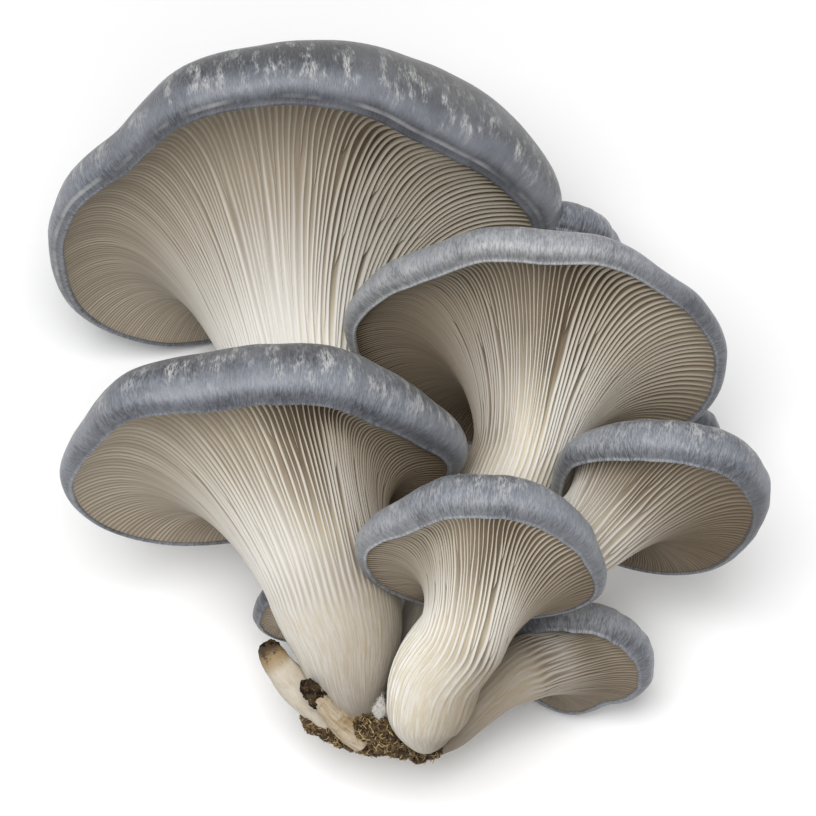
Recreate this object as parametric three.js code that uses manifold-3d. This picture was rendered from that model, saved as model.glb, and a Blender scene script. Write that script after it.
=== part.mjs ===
// Cluster of oyster mushrooms, picked whole and laid on its back.
// Nine fruiting bodies and two stunted stems grow from one foot, with a crust of straw
// and sawdust on the torn underside. Millimetres, +Z up, floor at Z = 0.
//
// The cluster is described in its growing frame: X to the right, Y up along the stems,
// Z towards the person who looks at the gills. The last group tips it back onto the floor.

import * as THREE from 'three';
import { mergeVertices } from 'three/addons/utils/BufferGeometryUtils.js';
import Module from 'manifold-3d';

const wasm = await Module();
wasm.setup();

// How the picked cluster lies: tipped back from the growing position, degrees.
const RECLINE = 32;
// Where the growing frame's origin comes to lie above the floor.
const LIE_AT = [1.7, -5.9, 57.9];
// Margin by which a piece is enlarged before it is cut out of the pieces that touch it.
const CLEARANCE = 0.4;

// Each mushroom's sizes.
// gills: ridges round the gill side; corners: corners round the stem.
// stem: points of the stem's axis from foot to neck, each x, y, z and radius.
// tip and roll: lean of the cap's axis away from the viewer and to the right, degrees.
// centre: middle of the plane through the cap's edge.
// The lists go round the cap's edge in even steps, from the right over the near side:
// reach: distance of the edge from the centre; lift: height of the edge above its plane;
// rise: height of the shoulder above the edge; bulge: how far the rolled margin swells out;
// curl: how steeply the gills turn down into the edge, degrees;
// inset: place of the shoulder inside the edge, as a share of the reach;
// throat: how far the gills follow the stem before they spread.
// crown: depth of the hollow on top as its height above the plane through the edge.
const MUSHROOMS = [
  {
    name: 'front', gills: 15, corners: 14, skin: 0x8b929d,
    stem: [[4.6, -74.6, 8, 0.8], [4.2, -72.5, 9.5, 4.6], [4, -68, 11.5, 8.2], [5, -62.2, 15, 9.6],
      [6.9, -56, 19, 9.7], [11.2, -49.8, 23.5, 9.6]],
    tip: 32, roll: 4, centre: [16.5, -32.4, 30],
    reach: [22, 19, 18.5, 18, 18.5, 19, 25, 26, 24, 24, 26, 27], lift: [0],
    rise: [9, 10, 11, 11, 11, 10, 8, 8, 8, 8, 8, 8], bulge: [3, 4, 4, 4, 4, 4, 3, 3, 3, 3, 3, 3],
    inset: [0.15], curl: [-26, -3, 30, 50, 45, 32, 10, 0, -10, -20, -28, -24],
    throat: [2, 5, 9, 11, 10, 7, 4, 3, 4, 5, 3, 2], crown: 5,
  },
  {
    name: 'left', gills: 20, corners: 16, skin: 0x868d98,
    stem: [[-9.6, -69, 2, 4.5], [-12.2, -61.5, 3, 8.4], [-13.6, -50, 4, 12.5], [-16, -40.2, 5, 14.5]],
    tip: 30, roll: -3, centre: [-29.2, -15.4, 2],
    reach: [38.2, 33.6, 31.5, 33, 33, 33.5, 41.5, 42, 44.8, 43.3, 37.8, 30.2, 26, 25, 28, 33.6],
    lift: [0], rise: [12, 14, 16, 16, 16, 15.8, 13.4, 10.2, 8.4, 7, 7, 8, 8, 8, 8, 10],
    bulge: [5, 6, 6, 6, 5, 5, 4.5, 4, 3, 2.5, 2.5, 3, 3, 3, 3, 4], inset: [0.14],
    curl: [10, 22, 36, 50, 56, 56, 52, 42, 34, 30, 30, 30, 28, 18, 5, 5],
    throat: [4, 7, 11, 14, 14, 13, 11, 9, 8, 8, 8, 8, 8, 6, 4, 3], crown: 6,
  },
  {
    name: 'upper_right', gills: 20, corners: 12, skin: 0x8e959f,
    stem: [[3, -70, -8, 7], [8, -52, -10, 11], [16, -32, -12, 11], [24, -12, -13, 10.4]],
    tip: 33, roll: 6, centre: [27.2, 14.1, -14],
    reach: [41.6, 39.3, 37, 36.5, 32, 33, 32, 35, 39, 39.5, 42, 47, 34, 29, 38, 42.6],
    lift: [0, 0, 0, 0, 0, 0, 0, 0, 0, 0, 0, 0, -2, -5, -5, -3],
    rise: [7, 8, 7, 8.6, 10, 10, 10, 10, 8, 8, 8, 8, 8, 8, 8, 7],
    bulge: [3, 3, 3, 3.5, 4, 4, 4, 4, 3.5, 3, 3, 3, 3, 3, 3, 3], inset: [0.15],
    curl: [5, 12, 25, 40, 48, 46, 42, 38, 34, 30, 25, 20, 15, 5, -5, -2],
    throat: [4, 5, 7, 10, 13, 12, 10, 9, 8, 8, 8, 8, 8, 6, 4, 4], crown: 4,
  },
  {
    name: 'right', gills: 15, corners: 10, skin: 0x878e99,
    stem: [[4, -68, -8, 5], [13, -54, -9, 6.6], [27.5, -37.5, -5, 7.4], [39.5, -27.4, 2, 9.4]],
    tip: 33, roll: 12, centre: [55.7, -22.8, 4],
    reach: [19.6, 21, 22.5, 21, 20.5, 23.8, 22.5, 23.2, 25.4, 25.4, 24, 20.4], lift: [0],
    rise: [9.3, 11, 11.4, 11.3, 11, 9, 8, 8, 8, 8, 8, 8], bulge: [3, 4, 4, 4, 4, 3, 3, 3, 3, 3, 3, 3],
    inset: [0.15], curl: [5, 18, 34, 45, 52, 72, 74, 50, 18, 0, -8, -5],
    throat: [3, 4, 6, 7, 7, 6, 5, 4, 4, 3, 2, 2], crown: 4,
  },
  {
    name: 'lower_right', gills: 10, corners: 10, skin: 0x85898f,
    stem: [[6, -75, 0, 2], [9.2, -71.5, 0, 4], [14.3, -65.5, 0, 5.5], [20, -60.5, -1, 6.3],
      [26, -57.5, -3, 7.3]],
    tip: 42, roll: 16, centre: [39.5, -58.3, -8],
    reach: [12, 12, 12.5, 13, 13.5, 15.5, 17.5, 17.5, 16.5, 15.5, 11, 11.5], lift: [0],
    rise: [9, 9, 9, 9, 9, 8, 8, 7, 7, 7, 7, 8], bulge: [3], inset: [0.15],
    curl: [0, 12, 26, 36, 40, 36, 28, 12, -5, -20, -25, -15],
    throat: [3, 4, 6, 7, 7, 6, 5, 4, 3, 3, 2, 2], crown: 3,
  },
  {
    name: 'lower_left', gills: 6, corners: 8, skin: 0x8a8780,
    stem: [[-8, -67, -8, 4], [-14, -58, -9, 4], [-20, -52, -10, 4.5]],
    tip: 35, roll: -10, centre: [-22.8, -46.2, -11],
    reach: [10.2], lift: [0], rise: [5], bulge: [1.5], inset: [0.15], curl: [40], throat: [3], crown: 3,
  },
  {
    name: 'top', gills: 25, corners: 14, skin: 0x858d9a,
    stem: [[-2, -70, -16, 7], [-8, -52, -25.5, 9.5], [-17, -25, -37, 11.5], [-24, 2, -41, 14]],
    tip: 35, roll: -4, centre: [-27, 36, -42],
    reach: [56, 51, 47.2, 49.6, 51.5, 53.5, 48.2, 51.8, 52, 52, 47.5, 42, 38, 42, 50, 55],
    lift: [1.5, 1.2, 1, 2, 1.8, -0.3, 0, 0, 0, 0, 1, 5, 6, 5, 3, 1.5],
    rise: [19.5, 24.8, 25, 21.2, 18.4, 18.2, 14.4, 13.4, 9.4, 8, 8, 9, 9, 10, 11, 14],
    bulge: [8, 8, 8, 7, 6, 5, 5, 4, 4, 3.5, 3, 3, 3, 3, 4, 6],
    inset: [0.14, 0.13, 0.12, 0.1, 0.1, 0.12, 0.14, 0.15, 0.15, 0.18, 0.2, 0.2, 0.2, 0.2, 0.2, 0.18],
    curl: [20, 32, 44, 54, 58, 55, 50, 46, 42, 40, 40, 38, 34, 26, 15, 14],
    throat: [7, 10, 15, 20, 21, 18, 15, 12, 10, 12, 14, 13, 10, 7, 5, 5], crown: 9,
  },
  {
    name: 'back', gills: 7, corners: 8, skin: 0x80858d,
    stem: [[3, -66, -20, 5], [14, -35, -36, 6.5], [26, -5, -50, 7], [33.5, 16, -58, 7.5]],
    tip: 35, roll: 8, centre: [34.6, 34.2, -57],
    reach: [13, 12, 12, 12, 12, 12, 12, 12, 12, 12, 12, 13], lift: [0], rise: [9], bulge: [2.5],
    inset: [0.15], curl: [40], throat: [5], crown: 4,
  },
  {
    name: 'back_right', gills: 6, corners: 8, skin: 0x84888d,
    stem: [[5, -66, -15, 4], [24, -46, -30, 5], [43, -28, -43, 5], [53, -18.5, -48.5, 5]],
    tip: 35, roll: 10, centre: [59.7, -8, -51],
    reach: [10], lift: [0], rise: [7], bulge: [2.5], inset: [0.15], curl: [40], throat: [4], crown: 3,
  },
];

// Share of the reach over which the gills bend down into the edge.
const FLARE = 0.55;
// Height of the gill ridges at mid length.
const RIDGE = 1.2;
// Steps along a gill from neck to edge, over the rolled margin, and in to the crown.
const GILL_STEPS = [0, 0.22, 0.45, 0.65, 0.84, 1];
const MARGIN_STEPS = [0.3, 0.65, 1];
const CROWN_STEPS = [0.35, 0.7];
const STEM_STEPS = 5;
// Corners round each stunted stem.
const STUB_CORNERS = 9;

// Stunted stems: points of the axis from the tip to the foot, each x, y, z and radius.
const STUBS = {
  stub_left: [[-30.9, -51.7, 3, 1.5], [-29.6, -54.3, 3, 3], [-26.6, -58.7, 2.5, 3.6],
    [-20.5, -64.8, 1.5, 4.1]],
  stub_front: [[-22.3, -60.1, 10, 1.2], [-20.8, -61.8, 10, 2], [-15.6, -67.8, 8, 2.7],
    [-9.8, -72.7, 5, 3.3]],
};

// The foot from which everything grows.
const FOOT = { centre: [-3, -69, -7], size: [15, 6.5, 11] };
// Crust of straw and sawdust under the foot, and the clump of it in front: points of the
// middle of each, x, y, z and radius, with the corners round them.
const STRAW = [
  [[-22.8, -67.8, 0, 1], [-21, -69, 0.5, 2.3], [-15, -71.8, 1.5, 3.1], [-9, -73.4, 2.5, 3.4],
    [-4, -74.2, 3, 2.9], [0, -74.8, 3.5, 2.5], [3, -76.2, 3.5, 2.3], [7.6, -75.6, 3.5, 1]],
  [[-11.8, -68.4, 7, 1], [-9.5, -69.6, 8, 2.8], [-5, -71.5, 8.5, 3.6], [-1.5, -74.2, 7, 2.7],
    [-0.4, -76.4, 6, 1]],
];
const STRAW_CORNERS = 6;
// How far the crust's surface goes in and out, as a share of its radius.
const STRAW_ROUGHNESS = 0.22;

// Colours of the flesh, the stunted stems and the straw.
const FLESH = 0xe6e0d2;
const STUB_FLESH = 0xdccfb4;
const STRAW_BROWN = 0x4c3a22;

const TURN = 2 * Math.PI;
const vector = (values) => new THREE.Vector3(values[0], values[1], values[2]);

// Smooth cubic through four neighbouring values, between the second and the third.
function between(a, b, c, d, f) {
  return 0.5 * (2 * b + (c - a) * f + (2 * a - 5 * b + 4 * c - d) * f * f
    + (3 * b - a - 3 * c + d) * f * f * f);
}

// Value of a closed list at a share of the turn round the cap.
function around(values, turn) {
  const count = values.length;
  const place = (turn - Math.floor(turn)) * count;
  const index = Math.floor(place);
  const at = (step) => values[(index + step + count) % count];
  return between(at(-1), at(0), at(1), at(2), place - index);
}

// Point, radius and direction of an open route of x, y, z, radius rows.
function along(route, share) {
  const last = route.length - 1;
  const row = (index, column) => {
    if (index < 0) return 2 * route[0][column] - route[1][column];
    if (index > last) return 2 * route[last][column] - route[last - 1][column];
    return route[index][column];
  };
  const place = Math.min(Math.max(share, 0), 1) * last;
  const index = Math.min(Math.floor(place), last - 1);
  const value = (column) => between(row(index - 1, column), row(index, column),
    row(index + 1, column), row(index + 2, column), place - index);
  return { point: new THREE.Vector3(value(0), value(1), value(2)), radius: value(3) };
}

function directionAlong(route, share) {
  const step = 1e-3;
  const ahead = along(route, Math.min(share + step, 1)).point;
  return ahead.sub(along(route, Math.max(share - step, 0)).point).normalize();
}

// One ring of a stem, its first point on the side that faces `right`.
function ringAt(route, share, right, columns) {
  const { point, radius } = along(route, share);
  const axis = directionAlong(route, share);
  const first = right.clone().addScaledVector(axis, -right.dot(axis)).normalize();
  const second = new THREE.Vector3().crossVectors(first, axis);
  return Array.from({ length: columns }, (_, column) => {
    const angle = TURN * column / columns;
    return point.clone().addScaledVector(first, radius * Math.cos(angle))
      .addScaledVector(second, radius * Math.sin(angle));
  });
}

function cubic(a, b, c, d, t) {
  const s = 1 - t;
  return a.clone().multiplyScalar(s * s * s).addScaledVector(b, 3 * s * s * t)
    .addScaledVector(c, 3 * s * t * t).addScaledVector(d, t * t * t);
}

const middleOf = (ring) => ring.reduce((sum, point) => sum.add(point), new THREE.Vector3())
  .divideScalar(ring.length);

// Closed body through rings of equal length, closed at each end on the ring's middle or a point.
function bodyThrough(rings, start = middleOf(rings[0]), end = middleOf(rings[rings.length - 1])) {
  const columns = rings[0].length;
  const points = [start, ...rings.flat(), end];
  const index = [];
  const at = (ring, column) => 1 + ring * columns + (column % columns);
  for (let column = 0; column < columns; column += 1) {
    index.push(0, at(0, column), at(0, column + 1));
    index.push(points.length - 1, at(rings.length - 1, column + 1), at(rings.length - 1, column));
    for (let ring = 0; ring < rings.length - 1; ring += 1) {
      index.push(at(ring, column), at(ring + 1, column + 1), at(ring, column + 1));
      index.push(at(ring, column), at(ring + 1, column), at(ring + 1, column + 1));
    }
  }
  const geometry = new THREE.BufferGeometry().setFromPoints(points);
  geometry.setIndex(index);
  return geometry;
}

// The directions of a cap: its axis, and the two that span the plane through its edge.
function capFrame({ tip, roll }) {
  const lean = THREE.MathUtils.degToRad(tip);
  const side = THREE.MathUtils.degToRad(roll);
  const axis = new THREE.Vector3(Math.sin(side) * Math.cos(lean), Math.cos(side) * Math.cos(lean),
    -Math.sin(lean));
  const right = new THREE.Vector3(Math.cos(side), -Math.sin(side), 0);
  return { axis, right, near: new THREE.Vector3().crossVectors(right, axis) };
}

// Gill side and top of a cap as rings from the neck over the edge to the crown.
// Every second column is the crest of a gill ridge.
function capBody(mushroom) {
  const { axis, right, near } = capFrame(mushroom);
  const columns = 2 * mushroom.gills;
  const centre = vector(mushroom.centre);
  const neck = ringAt(mushroom.stem, 1, right, columns);
  const neckWay = directionAlong(mushroom.stem, 1);
  const crown = centre.clone().addScaledVector(axis, mushroom.crown);
  const columnsOfPoints = neck.map((start, column) => {
    const turn = column / columns;
    const angle = TURN * turn;
    const out = right.clone().multiplyScalar(Math.cos(angle)).addScaledVector(near, Math.sin(angle));
    const reach = around(mushroom.reach, turn);
    const edge = centre.clone().addScaledVector(out, reach)
      .addScaledVector(axis, around(mushroom.lift, turn));
    const curl = THREE.MathUtils.degToRad(around(mushroom.curl, turn));
    const throat = start.clone().addScaledVector(neckWay, around(mushroom.throat, turn));
    const arch = edge.clone().addScaledVector(out, -FLARE * reach * Math.cos(curl))
      .addScaledVector(axis, FLARE * reach * Math.sin(curl));
    const inset = around(mushroom.inset, turn) * reach;
    const bulge = around(mushroom.bulge, turn);
    const shoulder = edge.clone().addScaledVector(out, -inset)
      .addScaledVector(axis, around(mushroom.rise, turn));
    const gill = GILL_STEPS.map((step) => {
      const crest = column % 2 ? RIDGE * Math.sin(Math.PI * step) : 0;
      return cubic(start, throat, arch, edge, step)
        .addScaledVector(axis, -crest * step).addScaledVector(out, crest * (1 - step));
    });
    const margin = MARGIN_STEPS.map((step) => cubic(edge, edge.clone().addScaledVector(out, 1.4 * bulge),
      shoulder.clone().addScaledVector(out, inset + 1.25 * bulge), shoulder, step));
    const top = CROWN_STEPS.map((step) => cubic(shoulder,
      shoulder.clone().addScaledVector(out, -0.35 * reach),
      crown.clone().addScaledVector(out, 0.25 * reach), crown, step));
    return [...gill, ...margin, ...top];
  });
  const rings = columnsOfPoints[0].map((_, ring) => columnsOfPoints.map((points) => points[ring]));
  return bodyThrough(rings, middleOf(neck), crown);
}

function stemBody(mushroom) {
  const { right } = capFrame(mushroom);
  const columns = mushroom.corners;
  const shares = Array.from({ length: STEM_STEPS + 1 }, (_, step) => step / STEM_STEPS);
  return bodyThrough(shares.map((share) => ringAt(mushroom.stem, share, right, columns)));
}

function stubBody(route) {
  const shares = [0, 0.15, 0.5, 1];
  return bodyThrough(shares.map((share) => ringAt(route, share, new THREE.Vector3(1, 0, 0), STUB_CORNERS)));
}

// Uneven lump along a route, its corners pushed in and out by turns.
function strawBody(route) {
  const last = 2 * (route.length - 1);
  const rings = Array.from({ length: last + 1 }, (_, step) => {
    const middle = along(route, step / last).point;
    return ringAt(route, step / last, new THREE.Vector3(0, 0, 1), STRAW_CORNERS).map((point, corner) => {
      const push = 1 + STRAW_ROUGHNESS * Math.sin(5 * corner + 3 * step) * Math.cos(2 * corner - step);
      return point.sub(middle).multiplyScalar(push).add(middle);
    });
  });
  return bodyThrough(rings);
}

function footBody() {
  const geometry = new THREE.SphereGeometry(1, 9, 6);
  geometry.scale(...FOOT.size);
  geometry.translate(...FOOT.centre);
  return geometry;
}

// Closed solid of a geometry, enlarged along its normals by `swell`.
function solidOf(source, swell = 0) {
  const geometry = source.clone();
  geometry.deleteAttribute('normal');
  geometry.deleteAttribute('uv');
  const merged = mergeVertices(geometry, 1e-4);
  if (swell) {
    merged.computeVertexNormals();
    const position = merged.getAttribute('position');
    const normal = merged.getAttribute('normal');
    for (let i = 0; i < position.count; i += 1) {
      position.setXYZ(i, position.getX(i) + swell * normal.getX(i),
        position.getY(i) + swell * normal.getY(i), position.getZ(i) + swell * normal.getZ(i));
    }
  }
  return new wasm.Manifold(new wasm.Mesh({
    numProp: 3,
    vertProperties: new Float32Array(merged.getAttribute('position').array),
    triVerts: new Uint32Array(merged.getIndex().array),
  }));
}

function geometryOf(solid) {
  const mesh = solid.getMesh();
  const geometry = new THREE.BufferGeometry();
  geometry.setAttribute('position', new THREE.BufferAttribute(new Float32Array(mesh.vertProperties), 3));
  geometry.setIndex(new THREE.BufferAttribute(new Uint32Array(mesh.triVerts), 1));
  return geometry;
}

// The largest of the bodies that a cut leaves.
function largest(solid) {
  return solid.decompose().reduce((best, body) => (body.volume() > best.volume() ? body : best));
}

// The space under the floor, in the growing frame.
function underFloor() {
  const depth = 60;
  const slab = new THREE.BoxGeometry(400, 400, depth);
  slab.translate(0, 0, -depth / 2);
  slab.translate(-LIE_AT[0], -LIE_AT[1], -LIE_AT[2]);
  slab.rotateX(-THREE.MathUtils.degToRad(RECLINE));
  return solidOf(slab);
}

// Sub-parts in order: each is cut by the enlarged shapes of those before it.
function growPieces() {
  const pieces = [];
  const add = (name, geometry, color, roughness) => pieces.push({ name, geometry, color, roughness });
  for (const mushroom of MUSHROOMS) {
    add(`cap_${mushroom.name}`, capBody(mushroom), mushroom.skin, 0.62);
    add(`stem_${mushroom.name}`, stemBody(mushroom), FLESH, 0.7);
  }
  for (const [name, route] of Object.entries(STUBS)) add(name, stubBody(route), STUB_FLESH, 0.75);
  add('foot', footBody(), FLESH, 0.75);
  return pieces;
}

function cutFree(pieces) {
  const floor = underFloor();
  const taken = [];
  for (const piece of pieces) {
    let solid = solidOf(piece.geometry);
    for (const other of taken) solid = solid.subtract(other);
    piece.solid = largest(solid.subtract(floor));
    taken.push(solidOf(piece.geometry, CLEARANCE));
  }
  const straw = STRAW.map((route) => solidOf(strawBody(route))).reduce((sum, body) => sum.add(body));
  const freed = taken.reduce((body, other) => body.subtract(other), straw);
  const solid = largest(freed.subtract(floor));
  pieces.push({ name: 'straw', solid, color: STRAW_BROWN, roughness: 0.95 });
  return pieces;
}

const cluster = new THREE.Group();
for (const piece of cutFree(growPieces())) {
  const material = new THREE.MeshStandardMaterial({
    color: piece.color, roughness: piece.roughness, metalness: 0,
  });
  const mesh = new THREE.Mesh(geometryOf(piece.solid), material);
  mesh.name = piece.name;
  cluster.add(mesh);
}
cluster.rotation.x = THREE.MathUtils.degToRad(RECLINE);
cluster.position.set(...LIE_AT);

const laid = new THREE.Group();
laid.add(cluster);
export default laid;
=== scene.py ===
"""Looks of a cluster of grey oyster mushrooms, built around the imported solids.

Nine mushrooms and two stunted stems grow from one foot that still holds straw and sawdust.
The tables give millimetres in the growing frame: X to the right, Y up along the stems and Z
towards the person who looks at the gills. Lie.to_world tips that frame back onto the floor.
"""

import logging
import math
from dataclasses import dataclass, field, replace
from enum import Enum
from typing import Any, ClassVar, Optional, Sequence, Union

import bmesh
import bpy
import numpy as np
from mathutils import Matrix, Vector

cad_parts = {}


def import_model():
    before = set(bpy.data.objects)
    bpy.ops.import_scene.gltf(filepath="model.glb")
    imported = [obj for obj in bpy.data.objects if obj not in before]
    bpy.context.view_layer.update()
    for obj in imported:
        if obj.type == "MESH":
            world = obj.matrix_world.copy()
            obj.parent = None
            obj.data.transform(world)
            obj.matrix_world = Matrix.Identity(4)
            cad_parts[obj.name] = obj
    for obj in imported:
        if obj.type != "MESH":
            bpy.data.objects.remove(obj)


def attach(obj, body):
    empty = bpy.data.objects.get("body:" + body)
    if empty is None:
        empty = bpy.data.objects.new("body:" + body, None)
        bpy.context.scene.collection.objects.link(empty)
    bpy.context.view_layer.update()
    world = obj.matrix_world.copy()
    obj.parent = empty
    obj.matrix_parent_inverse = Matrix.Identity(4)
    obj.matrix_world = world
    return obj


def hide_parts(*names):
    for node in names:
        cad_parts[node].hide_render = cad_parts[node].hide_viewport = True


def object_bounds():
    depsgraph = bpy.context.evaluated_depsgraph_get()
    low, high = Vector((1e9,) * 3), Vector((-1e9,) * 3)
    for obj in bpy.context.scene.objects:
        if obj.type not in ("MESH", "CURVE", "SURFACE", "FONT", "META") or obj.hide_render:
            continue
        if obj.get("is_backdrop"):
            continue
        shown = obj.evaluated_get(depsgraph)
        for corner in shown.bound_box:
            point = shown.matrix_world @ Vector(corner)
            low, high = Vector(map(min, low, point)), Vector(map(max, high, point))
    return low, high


LOG = logging.getLogger("oyster_cluster")

MM = 0.001
TURN = 2.0 * math.pi
Array = np.ndarray
Tree = bpy.types.NodeTree
Node = bpy.types.Node
Output = bpy.types.NodeSocket
Piece = bpy.types.Object
Material = bpy.types.Material
Colour = tuple[float, float, float]
Row = tuple[float, ...]
Band = tuple[float, float, float, float]
Socket = Union[Output, float, int, str, tuple, bool]


class MaterialSlot(Enum):
    """The record's material slots."""

    CAP = "cap"
    STEM = "stem"
    STUB = "stub"
    STRAW = "straw"


class BladeKind(Enum):
    """How far a gill reaches from the edge of the cap towards the foot."""

    LONG = 0
    MEDIUM = 1
    SHORT = 2


# Numbers along curves and surfaces

def smooth(value: Array, low: float = 0.0, high: float = 1.0) -> Array:
    """Smooth step from nought at `low` to one at `high`."""
    share = np.clip((value - low) / (high - low), 0.0, 1.0)
    return share * share * (3.0 - 2.0 * share)


def between(a: Any, b: Any, c: Any, d: Any, share: Any) -> Any:
    """Smooth cubic through four neighbouring values, between the second and the third."""
    return 0.5 * (2.0 * b + (c - a) * share + (2.0 * a - 5.0 * b + 4.0 * c - d) * share ** 2
                  + (3.0 * b - a - 3.0 * c + d) * share ** 3)


def around(values: Sequence[float], turn: Array) -> Array:
    """Read a closed list at shares of the turn.

    Args:
        values: Numbers at even steps round the cap.
        turn: Places on the turn, of which only the fraction counts.

    Returns:
        The values there, on a smooth curve through the list.
    """
    listed = np.asarray(values, float)
    place = np.mod(turn, 1.0) * len(listed)
    index = np.floor(place).astype(int)
    a, b, c, d = (listed[(index + step) % len(listed)] for step in (-1, 0, 1, 2))
    return between(a, b, c, d, place - index)


def along(route: Sequence[Row], share: Array) -> Array:
    """Read an open route of rows at shares of its length.

    Args:
        route: Rows of x, y, z and radius.
        share: Places from nought to one.

    Returns:
        One row of x, y, z and radius for each place.
    """
    rows = np.asarray(route, float)
    rows = np.vstack([2 * rows[0] - rows[1], rows, 2 * rows[-1] - rows[-2]])
    place = np.clip(np.atleast_1d(share), 0.0, 1.0) * (len(route) - 1)
    index = np.minimum(np.floor(place).astype(int), len(route) - 2)
    a, b, c, d = (rows[index + step] for step in range(4))
    return between(a, b, c, d, (place - index)[:, None])


def unit(vectors: Array) -> Array:
    """The vectors at a length of one."""
    return vectors / np.maximum(np.linalg.norm(vectors, axis=-1, keepdims=True), 1e-12)


def cubic(a: Array, b: Array, c: Array, d: Array, share: Array) -> Array:
    """Cubic curve from `a` to `d` with the handles `b` and `c`."""
    rest = 1.0 - share
    return rest ** 3 * a + 3 * rest ** 2 * share * b + 3 * rest * share ** 2 * c + share ** 3 * d


def direction_along(route: Sequence[Row], share: Array) -> Array:
    """Directions of a route at the given shares.

    Args:
        route: Rows of x, y, z and radius.
        share: Places from nought to one.

    Returns:
        One vector of length one for each place.
    """
    step = 1e-3
    ahead = along(route, np.minimum(share + step, 1.0))[:, :3]
    return unit(ahead - along(route, np.maximum(share - step, 0.0))[:, :3])


def tube(route: Sequence[Row], share: Array, right: Array, turn: Array) -> Array:
    """Points on the round surface of a route.

    Args:
        route: Rows of x, y, z and radius.
        share: One place along the route for each row of `turn`.
        right: The direction that turn nought faces, roughly.
        turn: Shares of the turn, rows by columns.

    Returns:
        Points, rows by columns by three.
    """
    rows = along(route, share)
    way = direction_along(route, share)
    first = unit(right - (way @ right)[:, None] * way)
    second = np.cross(first, way)
    angle = (TURN * turn)[..., None]
    reach = rows[:, None, 3:4]
    return rows[:, None, :3] + reach * (np.cos(angle) * first[:, None] + np.sin(angle) * second[:, None])


def normals_of(points: Array) -> Array:
    """Outward directions of a grid whose columns close round and whose rows run on."""
    onward = np.gradient(points, axis=0)
    across = np.roll(points, -1, axis=1) - np.roll(points, 1, axis=1)
    return unit(np.cross(onward, across))


def travelled(points: Array) -> Array:
    """Length of the way from the first row of points to each other one."""
    steps = np.linalg.norm(np.diff(points, axis=0), axis=-1)
    return np.concatenate([np.zeros_like(steps[:1]), np.cumsum(steps, axis=0)])


def even_turns(rows: int, columns: int) -> Array:
    """Even shares of the turn, the same in each row."""
    return np.broadcast_to(np.arange(columns) / columns, (rows, columns))


@dataclass(frozen=True)
class Lie:
    """How the picked cluster lies on the floor."""

    recline: float = math.radians(32.0)
    origin: tuple[float, float, float] = (1.7, -5.9, 57.9)

    def turned(self, vectors: Array) -> Array:
        """Directions of the growing frame as they lie."""
        cos, sin = math.cos(self.recline), math.sin(self.recline)
        x, y, z = np.moveaxis(np.asarray(vectors, float), -1, 0)
        return np.stack([x, cos * y - sin * z, sin * y + cos * z], axis=-1)

    def to_world(self, points: Array) -> Array:
        """Points of the growing frame in metres over the floor."""
        return (self.turned(points) + np.asarray(self.origin)) * MM


LIE = Lie()


# Meshes and node trees

def placed(name: str, data: bpy.types.ID) -> Piece:
    """Make an object of some data and link it to the scene."""
    obj = bpy.data.objects.new(name, data)
    bpy.context.scene.collection.objects.link(obj)
    return obj


def mesh_from(name: str, points: Array, faces: Sequence[Sequence[int]], values: dict[str, Array]) -> Piece:
    """Make a mesh object with values stored on its points.

    Args:
        name: The object's name.
        points: Points in metres.
        faces: Corner numbers of each face.
        values: Arrays of one number or one vector a point, by name.

    Returns:
        The linked object.
    """
    mesh = bpy.data.meshes.new(name)
    mesh.from_pydata(points.tolist(), [], faces)
    for key, array in values.items():
        vector = array.ndim == 2
        layer = mesh.attributes.new(key, "FLOAT_VECTOR" if vector else "FLOAT", "POINT")
        layer.data.foreach_set("vector" if vector else "value", array.astype(np.float32).ravel())
    mesh.polygons.foreach_set("use_smooth", np.ones(len(mesh.polygons), bool))
    mesh.update()
    return placed(name, mesh)


@dataclass
class Sheet:
    """A grid of points that closes round on itself, with poles where it ends."""

    points: Array
    values: dict[str, Array]
    start: Optional[Array] = None
    end: Optional[Array] = None

    def object(self, name: str) -> Piece:
        """Make the sheet's mesh object in metres, as it lies.

        Args:
            name: The object's name.

        Returns:
            The linked object.
        """
        rows, columns = self.points.shape[:2]
        points = [self.points.reshape(-1, 3)]
        values = {key: [array.reshape(rows * columns, -1)] for key, array in self.values.items()}
        corner = np.arange(rows * columns).reshape(rows, columns)
        nearby = np.roll(corner, -1, axis=1)
        faces = np.stack([corner[:-1], corner[1:], nearby[1:], nearby[:-1]], axis=-1).reshape(-1, 4).tolist()
        for pole, row, order in ((self.start, 0, 1), (self.end, -1, -1)):
            if pole is None:
                continue
            number = sum(len(block) for block in points)
            points.append(pole[None])
            for key, array in self.values.items():
                values[key].append(array[row].reshape(columns, -1).mean(axis=0, keepdims=True))
            ring = zip(corner[row].tolist(), nearby[row].tolist())
            faces += [(number, a, b) if order > 0 else (number, b, a) for a, b in ring]
        stacked = {key: np.vstack(blocks) for key, blocks in values.items()}
        flat = {key: array if array.shape[1] == 3 else array[:, 0] for key, array in stacked.items()}
        return mesh_from(name, LIE.to_world(np.vstack(points)), faces, flat)


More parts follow.
